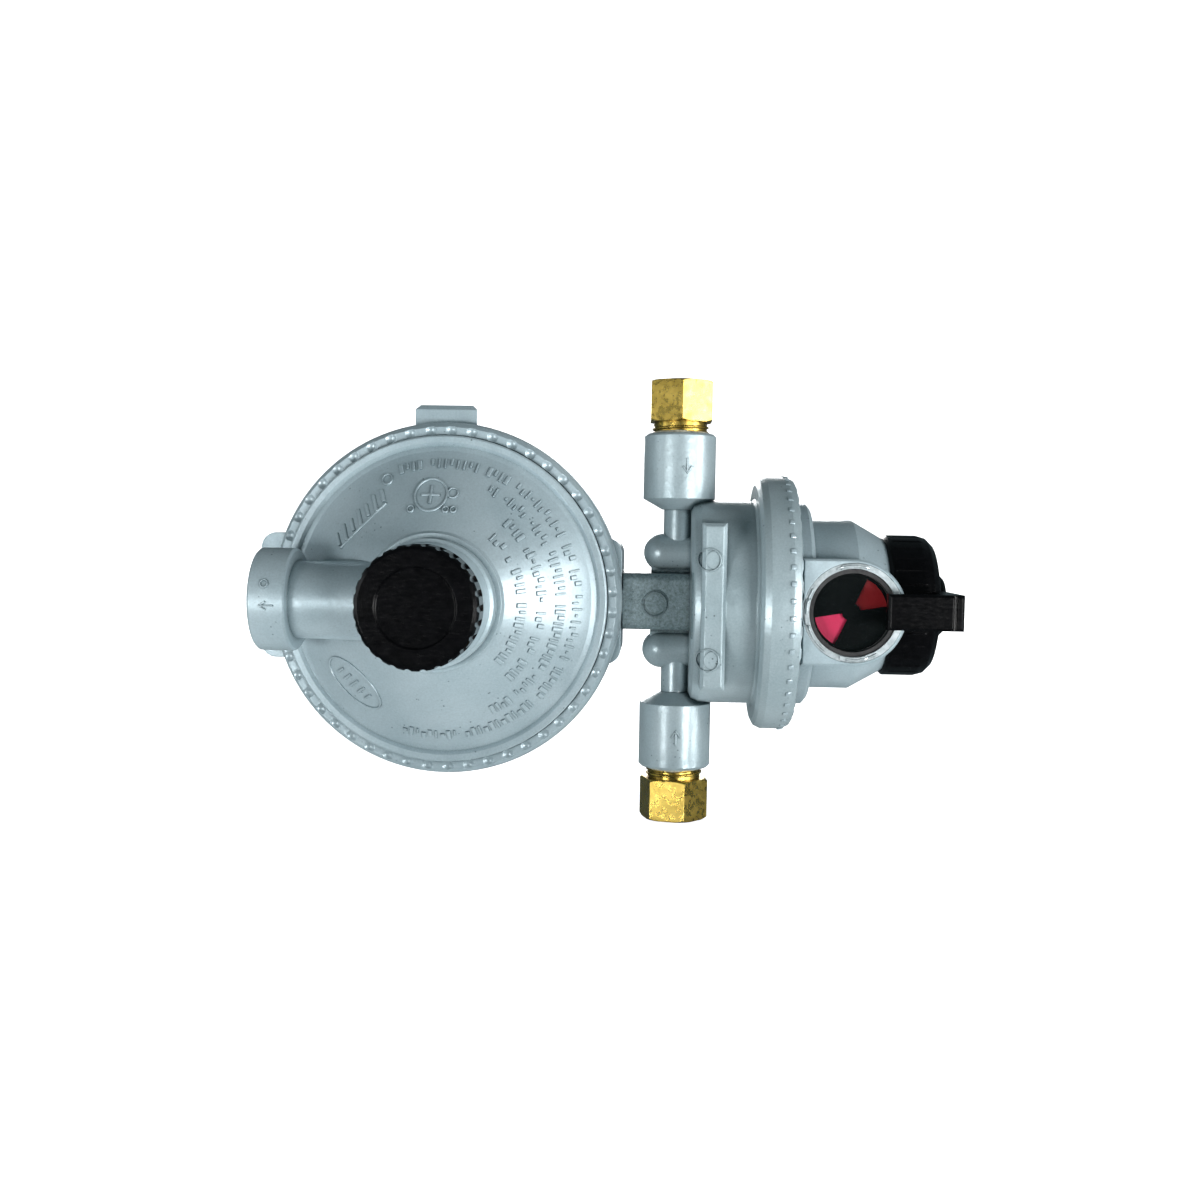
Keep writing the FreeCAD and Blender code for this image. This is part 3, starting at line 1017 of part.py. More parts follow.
def lens_seal():
    return tube("y", LENS_RING_INNER_R - RUN_GAP, LENS_R + RUN_GAP, LENS_FRONT_Y - 0.2, MASK_FRONT_Y,
                WINDOW_X, WINDOW_Z)


def indicator_lens():
    return cyl("y", LENS_R, LENS_FRONT_Y, LENS_BACK_Y, WINDOW_X, WINDOW_Z)


def indicator_mask():
    mask = cyl("y", MASK_R, MASK_FRONT_Y, MASK_BACK_Y, WINDOW_X, WINDOW_Z)
    for k in (0, 180):
        # positive angles run counter-clockwise for somebody facing the window
        sector = Part.makeCylinder(MASK_OPEN_R, 2.0, V(0, 0, -1), V(0, 0, 1), MASK_OPEN_DEG)
        sector = sector.cut(Part.makeCylinder(MASK_HUB_R, 4.0, V(0, 0, -2)))
        sector.rotate(V(0, 0, 0), V(0, 0, 1), MASK_OPEN_START + k)
        sector.rotate(V(0, 0, 0), V(1, 0, 0), 90)
        sector.translate(V(WINDOW_X, (MASK_FRONT_Y + MASK_BACK_Y) / 2, WINDOW_Z))
        mask = mask.cut(sector)
    return mask


def indicator_disc():
    return cyl("y", DISC_R, DISC_FRONT_Y, DISC_BACK_Y, WINDOW_X, WINDOW_Z).cut(
        cyl("y", SPINDLE_R, WINDOW_FACE_Y, 0, WINDOW_X, WINDOW_Z))


def indicator_spindle():
    shaft = cyl("y", SPINDLE_R, DISC_FRONT_Y, PINION_BACK_Y - 2.5, WINDOW_X, WINDOW_Z)
    pinion = cyl("y", PINION_R, PINION_BACK_Y - PINION_LEN, PINION_BACK_Y, WINDOW_X, WINDOW_Z)
    return fuse(shaft, pinion)


def indicator_link():
    z0 = WINDOW_Z + PINION_R + RACK_GAP
    return box(CHANGE_PLATE_RIGHT_X, RACK_RIGHT_X, RACK_FRONT_Y, RACK_BACK_Y, z0, z0 + RACK_THICK)


# ---------------------------------------------------------------- selector
def selector_shaft():
    shaft = cyl("x", SHAFT_R, SHAFT_LEFT_X + 3, SHAFT_RIGHT_X)
    cam = cyl("x", CAM_R, SHAFT_LEFT_X, SHAFT_LEFT_X + CAM_LEN)
    cam = cam.cut(box(SHAFT_LEFT_X - 1, SHAFT_LEFT_X + CAM_LEN + 1, -CAM_R - 1, -3.0, -CAM_R, CAM_R))
    shaft = fuse(shaft, cam)
    shaft = shaft.cut(tube("x", SHAFT_R + 1, SHAFT_R - 0.8, SHAFT_SEAL_X - 0.75, SHAFT_SEAL_X + 0.75))
    return shaft.cut(cyl("x", KNOB_SCREW_R, SHAFT_RIGHT_X - KNOB_SCREW_LEN - 0.5, SHAFT_RIGHT_X + 1))


def shaft_seal():
    return torus("x", SHAFT_R - 0.4, 0.38, SHAFT_SEAL_X)


def knob_blank():
    c = KNOB_CORNER
    return spin("x", [
        (KNOB_LEFT_X, 0), (KNOB_LEFT_X, KNOB_R - 0.8), (KNOB_LEFT_X + 0.8, KNOB_R),
        (KNOB_RIGHT_X - c, KNOB_R), (KNOB_RIGHT_X - 0.5 * c, KNOB_R - 0.14 * c),
        (KNOB_RIGHT_X - 0.14 * c, KNOB_R - 0.5 * c), (KNOB_RIGHT_X, KNOB_R - c), (KNOB_RIGHT_X, HUB_R),
        (HUB_END_X - 0.8, HUB_R), (HUB_END_X, HUB_R - 0.8), (HUB_END_X, 0)])


def selector_knob():
    knob = knob_blank()
    knob = knob.cut(cyl("x", KNOB_RECESS_R, KNOB_LEFT_X - 1, KNOB_RECESS_X))
    knob = knob.cut(cyl("x", SHAFT_R, KNOB_LEFT_X - 1, HUB_END_X + 1))
    grooves = []
    for i in range(KNOB_RIBS):
        t = 2 * math.pi * (i + 0.5) / KNOB_RIBS
        y = (KNOB_R + 0.6) * math.cos(t)
        z = (KNOB_R + 0.6) * math.sin(t)
        grooves.append(cyl("x", 0.85, KNOB_LEFT_X + 1.5, KNOB_RIGHT_X + 1, y, z))
    knob = knob.cut(Part.makeCompound(grooves))
    slot = box(LEVER_ARM_LEFT_X, HUB_END_X + 1, -2 * KNOB_R, LEVER_ROOT_Y, -LEVER_HALF_Z, LEVER_HALF_Z)
    return knob.cut(slot)


def selector_lever():
    arm = box(LEVER_ARM_LEFT_X, LEVER_RIGHT_X, LEVER_FRONT_Y, LEVER_ROOT_Y, -LEVER_HALF_Z, LEVER_HALF_Z)
    finger = box(LEVER_LEFT_X, LEVER_RIGHT_X, LEVER_FRONT_Y, LEVER_BACK_Y, -LEVER_HALF_Z, LEVER_HALF_Z)
    lever = fuse(arm, finger)
    front = [e for e in lever.Edges if all(v.Y < LEVER_FRONT_Y + 0.01 for v in e.Vertexes)]
    lever = lever.makeChamfer(0.6, front)
    return lever.cut(cyl("z", 0.5, -6, 6, LEVER_RIGHT_X - 2.2, LEVER_FRONT_Y))


def knob_screw():
    shank = cyl("x", KNOB_SCREW_R, SHAFT_RIGHT_X - KNOB_SCREW_LEN, SHAFT_RIGHT_X)
    head = cyl("x", SHAFT_R - 0.3, SHAFT_RIGHT_X, HUB_END_X - 0.3)
    screw = fuse(shank, head)
    screw = screw.cut(box(HUB_END_X - 1.3, HUB_END_X, -0.4, 0.4, -2.6, 2.6))
    return screw.cut(box(HUB_END_X - 1.3, HUB_END_X, -2.6, 2.6, -0.4, 0.4))


# ---------------------------------------------------------------- all nodes
def main():
    os.makedirs("parts", exist_ok=True)
    save("regulator_body", regulator_body())
    save("test_port_plug", test_port_plug())
    save("regulator_bonnet", regulator_bonnet())
    save("vent_screen", vent_screen())
    save("vent_screen_ring", vent_screen_ring())
    save("bonnet_cap", bonnet_cap())
    save("cap_gasket", cap_gasket())
    save("adjusting_screw", adjusting_screw())
    save("spring_seat", spring_seat())
    save("main_spring", main_spring())
    save("relief_spring", relief_spring())
    save("relief_retainer", relief_retainer())
    save("diaphragm_plate", diaphragm_plate())
    save("diaphragm", diaphragm())
    save("pusher_stem", pusher_stem())
    save("valve_lever", valve_lever())
    save("lever_pin", lever_pin())
    save("valve_guide", valve_guide())
    save("valve_plunger", valve_plunger())
    save("valve_seat_disc", valve_seat_disc())
    save("inlet_nozzle", inlet_nozzle())
    save("nozzle_seal", nozzle_seal())
    save("neck_seal", neck_seal())
    save("changeover_body", changeover_body())
    save("inlet_fitting_top", inlet_fitting(30.0 + TOP_HEX_TURN))
    save("inlet_fitting_bottom", mirror_z(inlet_fitting(30.0 + BOTTOM_HEX_TURN)))
    save("inlet_filter_top", inlet_filter())
    save("inlet_filter_bottom", mirror_z(inlet_filter()))
    upper = {"inlet_valve": inlet_valve(), "inlet_seat": inlet_seat(), "inlet_spring": inlet_spring()}
    for name, shape in upper.items():
        placed = at_lobe(shape)
        save(name + "_top", placed)
        save(name + "_bottom", mirror_z(placed))
    save("changeover_diaphragm", changeover_diaphragm())
    save("changeover_plate", changeover_plate())
    save("changeover_plate_inner", changeover_plate_inner())
    save("rocker_yoke", rocker_yoke())
    save("rocker", rocker())
    save("changeover_spring", changeover_spring())
    save("changeover_bonnet", changeover_bonnet())
    save("lens_ring", lens_ring())
    save("lens_seal", lens_seal())
    save("indicator_lens", indicator_lens())
    save("indicator_mask", indicator_mask())
    save("indicator_disc", indicator_disc())
    save("indicator_spindle", indicator_spindle())
    save("indicator_link", indicator_link())
    save("selector_shaft", selector_shaft())
    save("shaft_seal", shaft_seal())
    save("selector_knob", selector_knob())
    save("selector_lever", selector_lever())
    save("knob_screw", knob_screw())


main()
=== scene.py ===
import json
import math

import bmesh
import bpy
from mathutils import Matrix, Vector
from mathutils.bvhtree import BVHTree

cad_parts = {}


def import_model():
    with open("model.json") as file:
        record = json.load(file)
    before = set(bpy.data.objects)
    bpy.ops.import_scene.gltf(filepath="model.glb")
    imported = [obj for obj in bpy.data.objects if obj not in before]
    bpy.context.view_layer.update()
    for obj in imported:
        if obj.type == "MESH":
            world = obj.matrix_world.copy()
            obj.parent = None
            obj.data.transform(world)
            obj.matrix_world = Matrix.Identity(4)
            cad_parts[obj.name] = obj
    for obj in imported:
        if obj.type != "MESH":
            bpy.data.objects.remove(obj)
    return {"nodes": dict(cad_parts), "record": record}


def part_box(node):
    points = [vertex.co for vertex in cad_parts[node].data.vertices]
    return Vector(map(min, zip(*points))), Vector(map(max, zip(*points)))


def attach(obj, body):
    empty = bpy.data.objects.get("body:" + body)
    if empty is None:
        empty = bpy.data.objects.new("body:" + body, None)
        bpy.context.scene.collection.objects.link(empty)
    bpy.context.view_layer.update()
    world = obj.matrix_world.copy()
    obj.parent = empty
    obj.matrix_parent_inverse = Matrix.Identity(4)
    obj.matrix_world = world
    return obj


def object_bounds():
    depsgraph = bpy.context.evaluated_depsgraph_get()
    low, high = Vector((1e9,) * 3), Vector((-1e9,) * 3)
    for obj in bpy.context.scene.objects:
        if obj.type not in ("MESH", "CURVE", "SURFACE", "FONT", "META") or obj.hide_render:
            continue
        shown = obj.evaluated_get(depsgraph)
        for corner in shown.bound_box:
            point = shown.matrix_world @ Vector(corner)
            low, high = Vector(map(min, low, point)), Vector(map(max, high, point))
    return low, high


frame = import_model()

cad_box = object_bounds()
nodes = frame["nodes"]
MM = 0.001

# ---------------------------------------------------------------- places read from the frame
X_AXIS, Y_AXIS, Z_AXIS = Vector((1, 0, 0)), Vector((0, 1, 0)), Vector((0, 0, 1))


def middle(node):
    low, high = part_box(node)
    return (low + high) / 2


FLOW_Y = middle("inlet_fitting_top").y
INLET_X = middle("inlet_fitting_top").x
INLET_END_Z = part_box("inlet_fitting_top")[1].z
DISC_CENTRE = middle("indicator_disc")
VENT_CENTRE_Y = middle("vent_screen").y
VENT_SCREEN_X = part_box("vent_screen")[0].x
OUTLET_END_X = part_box("regulator_body")[0].x
BONNET_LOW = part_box("regulator_bonnet")[0]
FLANGE_END_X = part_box("changeover_body")[1].x
FLOOR_Z = cad_box[0][2] - 0.2 * MM

# ---------------------------------------------------------------- sizes of the added detail
MARK_HEIGHT = 0.36 * MM
BAR_PITCH = 1.9 * MM
GROUP_GAP = 2.0 * MM
# radius of the row, first and last angle, bars in each group, height of a bar
BAR_ROWS = [
    (34.2 * MM, 108, -108, (4, 8, 4, 11, 3, 3, 11, 6, 12, 9), 2.3 * MM),
    (30.2 * MM, 66, -66, (2, 5, 5, 8, 12, 5, 4), 2.3 * MM),
    (25.8 * MM, 49, -49, (4, 9, 3, 3, 4), 2.2 * MM),
    (21.2 * MM, 49, -46, (3, 1, 4, 10), 2.1 * MM),
]
CRIMP_COUNT = 50
HEX_HEIGHT = 10.7 * MM
PIPE_BORE_R, PIPE_PITCH, PIPE_DEPTH, PIPE_LENGTH = 7.5 * MM, 1.81 * MM, 0.75 * MM, 10 * MM
FLARE_BORE_R, FLARE_PITCH, FLARE_DEPTH, FLARE_LENGTH = 5.1 * MM, 1.27 * MM, 0.5 * MM, 9 * MM
COLLAR_R, COLLAR_PITCH, COLLAR_DEPTH, COLLAR_LENGTH = 6.9 * MM, 1.15 * MM, 0.5 * MM, 3.3 * MM
SEALANT_SETBACK = 3.0 * MM
WEB_HALF_Z = 8.2 * MM
WEB_END_X = INLET_X + 3.6 * MM


# ---------------------------------------------------------------- shader helpers
class Shader:
    """A node material built step by step around one Principled BSDF."""

    def __init__(self, name, **values):
        self.material = bpy.data.materials.new(name)
        self.material.use_nodes = True
        self.tree = self.material.node_tree
        self.surface = self.tree.nodes["Principled BSDF"]
        for socket, value in values.items():
            self.surface.inputs[socket.replace("_", " ")].default_value = value
        self.place = self.add("ShaderNodeTexCoord").outputs["Object"]

    def add(self, kind, links=(), **inputs):
        made = self.tree.nodes.new(kind)
        for socket, value in inputs.items():
            made.inputs[socket.replace("_", " ")].default_value = value
        for socket, source in links:
            self.tree.links.new(source, made.inputs[socket])
        return made

    def link(self, source, socket):
        self.tree.links.new(source, self.surface.inputs[socket])

    def noise(self, size, detail=3.0, rough=0.55, stretch=None):
        """Noise whose features are about size metres across, or longer along a stretched axis."""
        place = self.place
        if stretch:
            mapping = self.add("ShaderNodeMapping", [("Vector", place)])
            mapping.inputs["Scale"].default_value = stretch
            place = mapping.outputs["Vector"]
        made = self.add("ShaderNodeTexNoise", [("Vector", place)],
                        Scale=1 / size, Detail=detail, Roughness=rough)
        return made.outputs["Fac"]

    def spots(self, size):
        made = self.add("ShaderNodeTexVoronoi", [("Vector", self.place)], Scale=1 / size)
        return made.outputs["Distance"]

    def ramp(self, source, stops):
        made = self.add("ShaderNodeValToRGB", [("Fac", source)])
        elements = made.color_ramp.elements
        while len(elements) < len(stops):
            elements.new(0.5)
        for element, (at, colour) in zip(elements, stops):
            element.position = at
            element.color = (*colour, 1) if isinstance(colour, tuple) else (colour, colour, colour, 1)
        return made.outputs["Color"]

    def mix(self, factor, a, b, blend="MIX"):
        made = self.tree.nodes.new("ShaderNodeMix")
        made.data_type = "RGBA"
        made.blend_type = blend
        for index, source in ((0, factor), (6, a), (7, b)):
            if isinstance(source, tuple):
                made.inputs[index].default_value = (*source, 1)
            elif isinstance(source, float):
                made.inputs[index].default_value = source
            else:
                self.tree.links.new(source, made.inputs[index])
        return made.outputs[2]

    def math(self, operation, a, b=0.0):
        made = self.tree.nodes.new("ShaderNodeMath")
        made.operation = operation
        for index, source in enumerate((a, b)):
            if isinstance(source, (int, float)):
                made.inputs[index].default_value = source
            else:
                self.tree.links.new(source, made.inputs[index])
        return made.outputs["Value"]

    def axes(self):
        return self.add("ShaderNodeSeparateXYZ", [("Vector", self.place)]).outputs

    def bump(self, height, depth, strength=1.0, below=None):
        links = [("Height", height)]
        if below is not None:
            links.append(("Normal", below))
        return self.add("ShaderNodeBump", links, Strength=strength, Distance=depth).outputs["Normal"]

    def rounded_edges(self, radius):
        made = self.add("ShaderNodeBevel", Radius=radius)
        made.samples = 4
        return made.outputs["Normal"]

    def painted_crevice_shade(self, colour, dark, reach):
        """Darkens narrow gaps and hollows by ambient occlusion: painted shade in the crevices."""
        shade = self.add("ShaderNodeAmbientOcclusion", Distance=reach)
        shade.samples = 6
        keep = self.ramp(shade.outputs["AO"], [(0.30, 0.0), (0.82, 1.0)])
        return self.mix(keep, self.mix(1.0, colour, dark, "MULTIPLY"), colour)


# ---------------------------------------------------------------- materials
def paint_colour(s, light, dark):
    broad = s.ramp(s.noise(17 * MM, 2.0), [(0.3, dark), (0.7, light)])
    fine = s.ramp(s.noise(0.5 * MM, 4.0, 0.7), [(0.3, 0.80), (0.75, 1.0)])
    colour = s.mix(1.0, broad, fine, "MULTIPLY")
    patch = s.ramp(s.noise(6 * MM, 2.0), [(0.55, 0.0), (0.68, 1.0)])
    speck = s.ramp(s.spots(1.5 * MM), [(0.10, 1.0), (0.19, 0.0)])
    return s.mix(s.mix(1.0, patch, speck, "MULTIPLY"), colour, (0.10, 0.13, 0.14))


def cast_paint(name, light=(0.43, 0.53, 0.57), dark=(0.35, 0.45, 0.49)):
    s = Shader(name, Metallic=0.35, Coat_Weight=0.35, Coat_Roughness=0.16)
    # base colour darkened in narrow gaps by ambient occlusion: painted shade
    s.link(s.painted_crevice_shade(paint_colour(s, light, dark), (0.10, 0.16, 0.17), 2.0 * MM), "Base Color")
    s.link(s.ramp(s.noise(3 * MM), [(0.3, 0.30), (0.7, 0.44)]), "Roughness")
    orange_peel = s.bump(s.noise(1.6 * MM, 3.0), 0.06 * MM, 1.0, s.rounded_edges(0.35 * MM))
    grain = s.bump(s.noise(0.35 * MM, 2.0), 0.012 * MM, 1.0, orange_peel)
    s.link(grain, "Normal")
    return s.material


def neck_paint():
    """The same paint, rougher and darker on the flat web between the two castings."""
    s = Shader("paint_neck", Metallic=0.35, Coat_Weight=0.3, Coat_Roughness=0.2)
    x, _, z = s.axes()
    near = s.math("LESS_THAN", x, WEB_END_X)
    low = s.math("LESS_THAN", s.math("ABSOLUTE", z), WEB_HALF_Z)
    web = s.math("MULTIPLY", near, low)
    plain = paint_colour(s, (0.40, 0.49, 0.52), (0.32, 0.41, 0.44))
    rough = s.ramp(s.noise(0.6 * MM, 5.0, 0.75), [(0.35, (0.09, 0.13, 0.14)), (0.7, (0.24, 0.32, 0.34))])
    # base colour darkened in narrow gaps by ambient occlusion: painted shade
    s.link(s.painted_crevice_shade(s.mix(web, plain, rough), (0.10, 0.16, 0.17), 2.0 * MM), "Base Color")
    s.link(s.ramp(s.noise(3 * MM), [(0.3, 0.30), (0.7, 0.44)]), "Roughness")
    sand = s.math("MULTIPLY", s.noise(0.7 * MM, 4.0, 0.7), s.math("ADD", s.math("MULTIPLY", web, 0.8), 0.2))
    peel = s.bump(s.noise(1.6 * MM, 3.0), 0.06 * MM, 1.0, s.rounded_edges(0.5 * MM))
    s.link(s.bump(sand, 0.16 * MM, 1.0, peel), "Normal")
    return s.material


def bare_casting():
    s = Shader("bare_casting", Metallic=0.75)
    tone = s.ramp(s.noise(1.2 * MM, 4.0), [(0.3, (0.36, 0.42, 0.44)), (0.7, (0.62, 0.68, 0.70))])
    # base colour darkened in narrow gaps by ambient occlusion: painted shade
    s.link(s.painted_crevice_shade(tone, (0.12, 0.15, 0.16), 0.8 * MM), "Base Color")
    s.link(s.ramp(s.noise(0.8 * MM), [(0.3, 0.28), (0.7, 0.42)]), "Roughness")
    s.link(s.bump(s.noise(0.5 * MM, 3.0), 0.02 * MM, 1.0, s.rounded_edges(0.15 * MM)), "Normal")
    return s.material


def brass(name, bright, dull):
    s = Shader(name, Metallic=1.0)
    tone = s.ramp(s.noise(5 * MM, 3.0), [(0.3, dull), (0.65, bright)])
    pits = s.ramp(s.noise(1.1 * MM, 6.0, 0.8), [(0.33, 1.0), (0.42, 0.0)])
    stained = s.mix(pits, tone, (0.16, 0.10, 0.02))
    # base colour darkened in narrow gaps by ambient occlusion: painted shade
    s.link(s.painted_crevice_shade(stained, (0.25, 0.17, 0.06), 1.2 * MM), "Base Color")
    s.link(s.ramp(s.noise(1.8 * MM, 4.0), [(0.3, 0.20), (0.7, 0.38)]), "Roughness")
    turned = s.noise(0.25 * MM, 2.0, 0.6, stretch=(1.0, 1.0, 6.0))
    s.link(s.bump(turned, 0.012 * MM, 1.0, s.rounded_edges(0.25 * MM)), "Normal")
    return s.material


def black_plastic():
    s = Shader("black_plastic", Specular_IOR_Level=0.14)
    s.link(s.ramp(s.noise(2 * MM, 4.0), [(0.3, (0.0008, 0.0008, 0.001)), (0.75, (0.0025, 0.0025, 0.003))]),
           "Base Color")
    scuffs = s.noise(0.6 * MM, 5.0, 0.7, stretch=(0.3, 1.0, 1.0))
    s.link(s.ramp(scuffs, [(0.35, 0.14), (0.7, 0.30)]), "Roughness")
    s.link(s.bump(s.noise(0.8 * MM, 3.0), 0.015 * MM, 1.0, s.rounded_edges(0.3 * MM)), "Normal")
    return s.material


def steel(name, light, dark, rough_low, rough_high):
    s = Shader(name, Metallic=1.0)
    grain = s.noise(0.3 * MM, 3.0, 0.6, stretch=(0.15, 1.0, 1.0))
    s.link(s.ramp(grain, [(0.3, dark), (0.7, light)]), "Base Color")
    s.link(s.ramp(s.noise(1.5 * MM), [(0.3, rough_low), (0.7, rough_high)]), "Roughness")
    s.link(s.bump(grain, 0.01 * MM), "Normal")
    return s.material


def rubber():
    s = Shader("seal_rubber", Sheen_Weight=0.15)
    s.link(s.ramp(s.noise(1.5 * MM, 4.0), [(0.3, (0.010, 0.010, 0.011)), (0.7, (0.028, 0.028, 0.029))]),
           "Base Color")
    s.link(s.ramp(s.noise(0.7 * MM), [(0.3, 0.55), (0.7, 0.8)]), "Roughness")
    s.link(s.bump(s.noise(0.25 * MM, 3.0), 0.02 * MM), "Normal")
    return s.material


def clear_lens():
    s = Shader("clear_lens", Base_Color=(0.02, 0.03, 0.03, 1), IOR=1.49)
    edge = s.add("ShaderNodeFresnel", IOR=1.49).outputs["Fac"]
    s.link(s.ramp(edge, [(0.03, 0.06), (0.5, 0.70)]), "Alpha")
    s.link(s.ramp(s.noise(1.0 * MM, 6.0, 0.8), [(0.45, 0.02), (0.8, 0.07)]), "Roughness")
    return s.material


def indicator_print():
    """Disc printed in quarters: two show red through the mask now, the other two green when it turns. Both
    colours are painted darker towards the upper right: painted shade.
    """
    s = Shader("indicator_print")
    x, _, z = s.axes()
    u = s.math("SUBTRACT", x, DISC_CENTRE.x)
    v = s.math("SUBTRACT", z, DISC_CENTRE.z)
    turn = math.radians(-7.5)
    p = s.math("ADD", s.math("MULTIPLY", u, math.cos(turn)), s.math("MULTIPLY", v, math.sin(turn)))
    q = s.math("SUBTRACT", s.math("MULTIPLY", v, math.cos(turn)), s.math("MULTIPLY", u, math.sin(turn)))
    red_quarter = s.math("GREATER_THAN", s.math("MULTIPLY", p, q), 0.0)
    # painted shade: both print colours run from bright at the lower left to dark at the upper right
    fade = s.math("ADD", s.math("MULTIPLY", s.math("ADD", u, v), -60.0), 0.5)
    red = s.ramp(fade, [(0.25, (0.42, 0.0, 0.006)), (0.75, (0.95, 0.015, 0.13))])
    green = s.ramp(fade, [(0.25, (0.0, 0.14, 0.03)), (0.75, (0.01, 0.36, 0.09))])
    ink = s.ramp(s.noise(0.4 * MM, 3.0), [(0.3, 0.90), (0.7, 1.0)])
    s.link(s.mix(1.0, s.mix(red_quarter, green, red), ink, "MULTIPLY"), "Base Color")
    s.link(s.ramp(s.noise(0.6 * MM), [(0.3, 0.40), (0.7, 0.52)]), "Roughness")
    return s.material


def sealant():
    """Pipe dope squeezed out where a brass fitting enters its boss."""
    s = Shader("thread_sealant")
    tone = s.ramp(s.noise(0.7 * MM, 4.0), [(0.3, (0.20, 0.19, 0.13)), (0.7, (0.46, 0.46, 0.38))])
    s.link(tone, "Base Color")
    s.link(s.ramp(s.noise(0.5 * MM), [(0.3, 0.5), (0.7, 0.75)]), "Roughness")
    s.link(s.bump(s.noise(0.6 * MM, 4.0), 0.15 * MM), "Normal")
    return s.material


PAINT = cast_paint("paint_housing")
BRASS = brass("brass_fitting", (0.66, 0.47, 0.11), (0.42, 0.29, 0.06))
SLOT_MATERIALS = {
    "cast_housing": PAINT,
    "cast_neck": neck_paint(),
    "cast_inner": bare_casting(),
    "brass_fitting": BRASS,
    "brass_inner": brass("brass_inner", (0.80, 0.60, 0.25), (0.62, 0.44, 0.15)),
    "black_plastic": black_plastic(),
    "steel_small": steel("zinc_plate", (0.62, 0.64, 0.66), (0.44, 0.46, 0.49), 0.24, 0.40),
    "spring_steel": steel("spring_wire", (0.46, 0.47, 0.50), (0.28, 0.29, 0.31), 0.28, 0.45),
    "seal_rubber": rubber(),
    "clear_lens": clear_lens(),
    "indicator_red": indicator_print(),
}


def dress(obj, material):
    obj.data.materials.clear()
    obj.data.materials.append(material)


for part in frame["record"]["subparts"]:
    dress(nodes[part["node"]], SLOT_MATERIALS[part["material_slot"]])


# ---------------------------------------------------------------- raised marks on a surface
def face_tree(node):
    mesh = nodes[node].data
    points = [v.co.copy() for v in mesh.vertices]
    return BVHTree.FromPolygons(points, [tuple(p.vertices) for p in mesh.polygons])


class Surface:
    """A CAD node's outer face seen along one direction, for laying raised marks on it."""

    def __init__(self, tree, view, right, up, centre):
        self.tree = tree
        self.view, self.right, self.up, self.centre = view, right, up, centre

    def at(self, u, v):
        start = self.centre + self.right * u + self.up * v - self.view * 0.2
        place, normal, _, _ = self.tree.ray_cast(start, self.view)
        if place is None:
            raise ValueError("a raised mark misses the surface it lies on")
        if normal.dot(self.view) > 0:
            normal = -normal
        return place, normal


# offset across the line in widths, and level in heights, of the six corners of a ribbon's section
RIBBON_SECTION = ((0.5, -0.25), (0.5, 0.35), (0.3, 1.0), (-0.3, 1.0), (-0.5, 0.35), (-0.5, -0.25))


def ribbon(bm, surface, path, width, height, closed=False):
    """A raised line along path: flat top, sloping sides, foot sunk a little into the surface."""
    rows = []
    count = len(path)
    for i, (u, v) in enumerate(path):
        before = path[i - 1] if closed or i else path[i]
        after = path[(i + 1) % count] if closed or i < count - 1 else path[i]
        along = Vector((after[0] - before[0], after[1] - before[1])).normalized()
        side = Vector((-along.y, along.x))
        row = []
        for offset, level in RIBBON_SECTION:
            place, normal = surface.at(u + side.x * width * offset, v + side.y * width * offset)
            row.append(bm.verts.new(place + normal * height * level))
        rows.append(row)
    for i in range(count if closed else count - 1):
        a, b = rows[i], rows[(i + 1) % count]
        for k in range(5):
            bm.faces.new((a[k], a[k + 1], b[k + 1], b[k]))
        bm.faces.new((a[5], a[0], b[0], b[5]))
    if not closed:
        bm.faces.new(rows[0])
        bm.faces.new(rows[-1])


def finish_mesh(bm, name, material, body, smooth=False):
    bmesh.ops.recalc_face_normals(bm, faces=bm.faces)
    mesh = bpy.data.meshes.new(name)
    bm.to_mesh(mesh)
    bm.free()
    for face in mesh.polygons:
        face.use_smooth = smooth
    obj = bpy.data.objects.new(name, mesh)
    bpy.context.scene.collection.objects.link(obj)
    dress(obj, material)
    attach(obj, body)
    return obj


def circle(u, v, r, count=28):
    return [(u + r * math.cos(math.tau * i / count), v + r * math.sin(math.tau * i / count))
            for i in range(count)]


def oval(u, v, long_r, short_r, tilt, count=48):
    points = []
    for i in range(count):
        t = math.tau * i / count
        a, b = long_r * math.cos(t), short_r * math.sin(t)
        points.append((u + a * math.cos(tilt) - b * math.sin(tilt),
                       v + a * math.sin(tilt) + b * math.cos(tilt)))
    return points


def polar(r, degrees):
    t = math.radians(degrees)
    return r * math.cos(t), r * math.sin(t)


BONNET_TREE = face_tree("regulator_bonnet")
CHANGEOVER_TREE = face_tree("changeover_body")

def bar_row(bm, surface, r, start, end, groups, height):
    """Groups of short raised bars round the cone, evenly spread between two angles."""
    length = math.radians(start - end) * r
    wanted = sum(groups) * BAR_PITCH + (len(groups) - 1) * GROUP_GAP
    scale = length / wanted
    travelled = 0.0
    for count in groups:
        for k in range(count):
            angle = start - math.degrees(travelled / r)
            low = (-0.5, -0.5, -0.15)[(k + count) % 3]
            high = (0.5, 0.1, 0.5, 0.5)[(2 * k + count) % 4]
            width = (0.55, 1.15, 0.75)[(k * k + count) % 3] * MM
            ribbon(bm, surface, [polar(r + height * low, angle), polar(r + height * high, angle)], width,
                   MARK_HEIGHT)
            travelled += BAR_PITCH * scale
        travelled += GROUP_GAP * scale


def slanted_bar(bm, surface, centre, line, along, half, lean, width):
    """Raised bar of length 2 * half, turned to the angle lean, on a line through centre."""
    u, v = centre[0] + along * math.cos(line), centre[1] + along * math.sin(line)
    du, dv = half * math.cos(lean), half * math.sin(lean)
    ribbon(bm, surface, [(u - du, v - dv), (u + du, v + dv)], width, MARK_HEIGHT)


